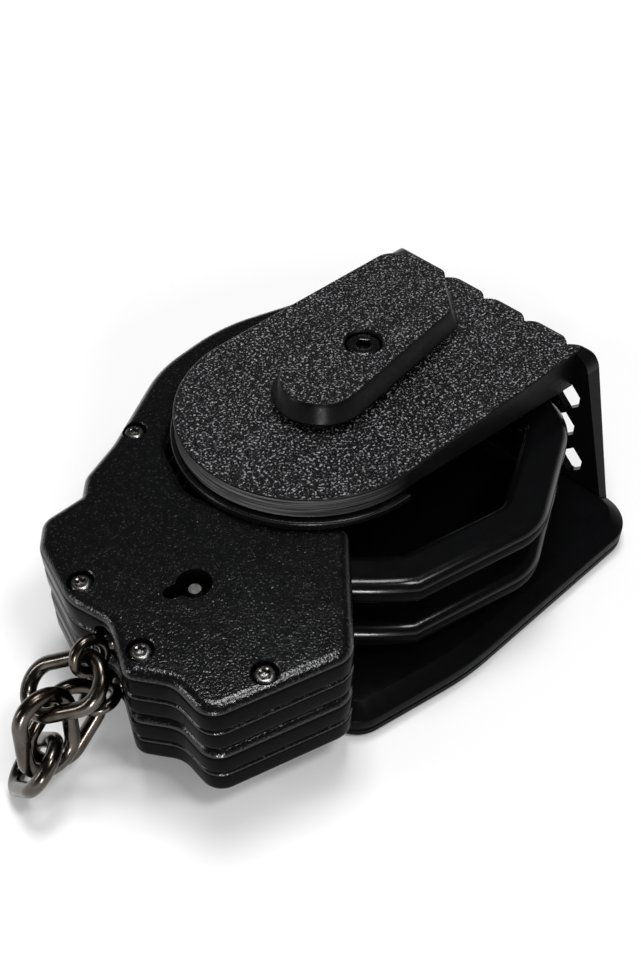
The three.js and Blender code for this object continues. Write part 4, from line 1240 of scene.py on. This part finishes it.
def aimed(data, at, to):
    """A lamp or the camera at a place, facing another."""
    made = put(data.name, data)
    made.location = at
    made.rotation_euler = (Vector(to) - Vector(at)).to_track_quat("-Z", "Y").to_euler()
    return made


def seen_directly(nodes):
    """1 where the camera, a reflection or glass looks, and 0 for light thrown on the object."""
    path = nodes.node("ShaderNodeLightPath", {}).outputs
    gloss = nodes.math("MAXIMUM", path["Is Camera Ray"], path["Is Glossy Ray"])
    return nodes.math("MAXIMUM", gloss, path["Is Transmission Ray"])


def make_floor(settings):
    """A pale sheet at the belt side's height, which glows to the eye beyond the object's shadow."""
    mesh = bpy.data.meshes.new("pale_floor")
    corners = [(x, y, CAD_BOX[0].z) for x, y in FLOOR_REACH * SQUARE]
    mesh.from_pydata(corners, [], [(0, 1, 2, 3)])
    sheet = Finish("pale_floor", settings.floor, 0.9, specular=0.0)
    away = sheet.node("ShaderNodeVectorMath", {0: sheet.place}, operation="LENGTH").outputs["Value"]
    glow = sheet.ramp(away, *GLOW_REACH, *GLOW)
    sheet.set("Emission Color", (1, 1, 1, 1))
    sheet.use("Emission Strength", sheet.math("MULTIPLY", seen_directly(sheet), glow))
    mesh.materials.append(sheet.material)
    floor = put("pale_floor", mesh)


def make_room(settings):
    """A room with pale walls up to about 20 degrees above the horizon and a dim ceiling."""
    world = bpy.data.worlds.new("room")
    world.use_nodes = True
    bpy.context.scene.world = world
    nodes = Nodes(world.node_tree)
    rise = nodes.part(nodes.node("ShaderNodeTexCoord", {}).outputs["Generated"], "Z")
    seen = nodes.ramp(rise, *WALL_RISE, settings.horizon, settings.ceiling)
    inputs = {"Factor": seen_directly(nodes), "A": settings.room, "B": seen}
    strength = nodes.node("ShaderNodeMix", inputs).outputs["Result"]
    background = nodes.tree.nodes["Background"].inputs
    background["Color"].default_value = (1, 1, 1, 1)
    nodes.tree.links.new(strength, background["Strength"])


class HANDCUFF_OT_studio(bpy.types.Operator):
    """A pale floor, soft lamps and a camera at the photographer's place"""

    bl_idname = "handcuff.studio"
    bl_label = "Studio"

    def execute(self, context):
        settings = context.scene.handcuff_stage
        make_floor(settings)
        make_room(settings)
        for name, (at, to, size) in LAMPS.items():
            data = bpy.data.lights.new(f"lamp_{name}", "AREA")
            data.shape, (data.size, data.size_y) = "RECTANGLE", size
            data.energy = getattr(settings, name)
            aimed(data, at, to)
        data = bpy.data.cameras.new("photo_camera")
        data.lens, data.sensor_width, data.clip_start = settings.lens, 36, 0.01
        context.scene.camera = aimed(data, CAMERA_AT, CAMERA_AIM)
        context.scene.view_settings.view_transform = "Standard"
        return {"FINISHED"}


class HANDCUFF_PT_panel(bpy.types.Panel):
    """The handcuffs' sizes, finishes and pieces"""

    bl_idname = "HANDCUFF_PT_panel"
    bl_label = "Cased handcuffs"
    bl_space_type = "VIEW_3D"
    bl_region_type = "UI"
    bl_category = "Handcuffs"

    def draw(self, context):
        for name in GROUPS:
            group, box = getattr(context.scene, name), self.layout.box()
            for key in group.__annotations__:
                box.prop(group, key)
        for operator in OPERATORS:
            self.layout.operator(operator.bl_idname)


GROUPS = {
    "handcuff_rounds": HANDCUFF_PG_rounds,
    "handcuff_finishes": HANDCUFF_PG_finishes,
    "handcuff_stage": HANDCUFF_PG_stage,
}
OPERATORS = (
    HANDCUFF_OT_front,
    HANDCUFF_OT_base,
    HANDCUFF_OT_liner,
    HANDCUFF_OT_button,
    HANDCUFF_OT_shells,
    HANDCUFF_OT_bows,
    HANDCUFF_OT_fasteners,
    HANDCUFF_OT_chain,
    HANDCUFF_OT_inner,
    HANDCUFF_OT_studio,
)
CLASSES = (*GROUPS.values(), *OPERATORS, HANDCUFF_PT_panel)


def register():
    for made in CLASSES:
        bpy.utils.register_class(made)
    for name, group in GROUPS.items():
        setattr(bpy.types.Scene, name, PointerProperty(type=group))


def unregister():
    for name in GROUPS:
        delattr(bpy.types.Scene, name)
    for made in reversed(CLASSES):
        bpy.utils.unregister_class(made)


def main():
    register()
    for operator in OPERATORS:
        group, name = operator.bl_idname.split(".")
        getattr(getattr(bpy.ops, group), name)()


if __name__ == "__main__":
    main()
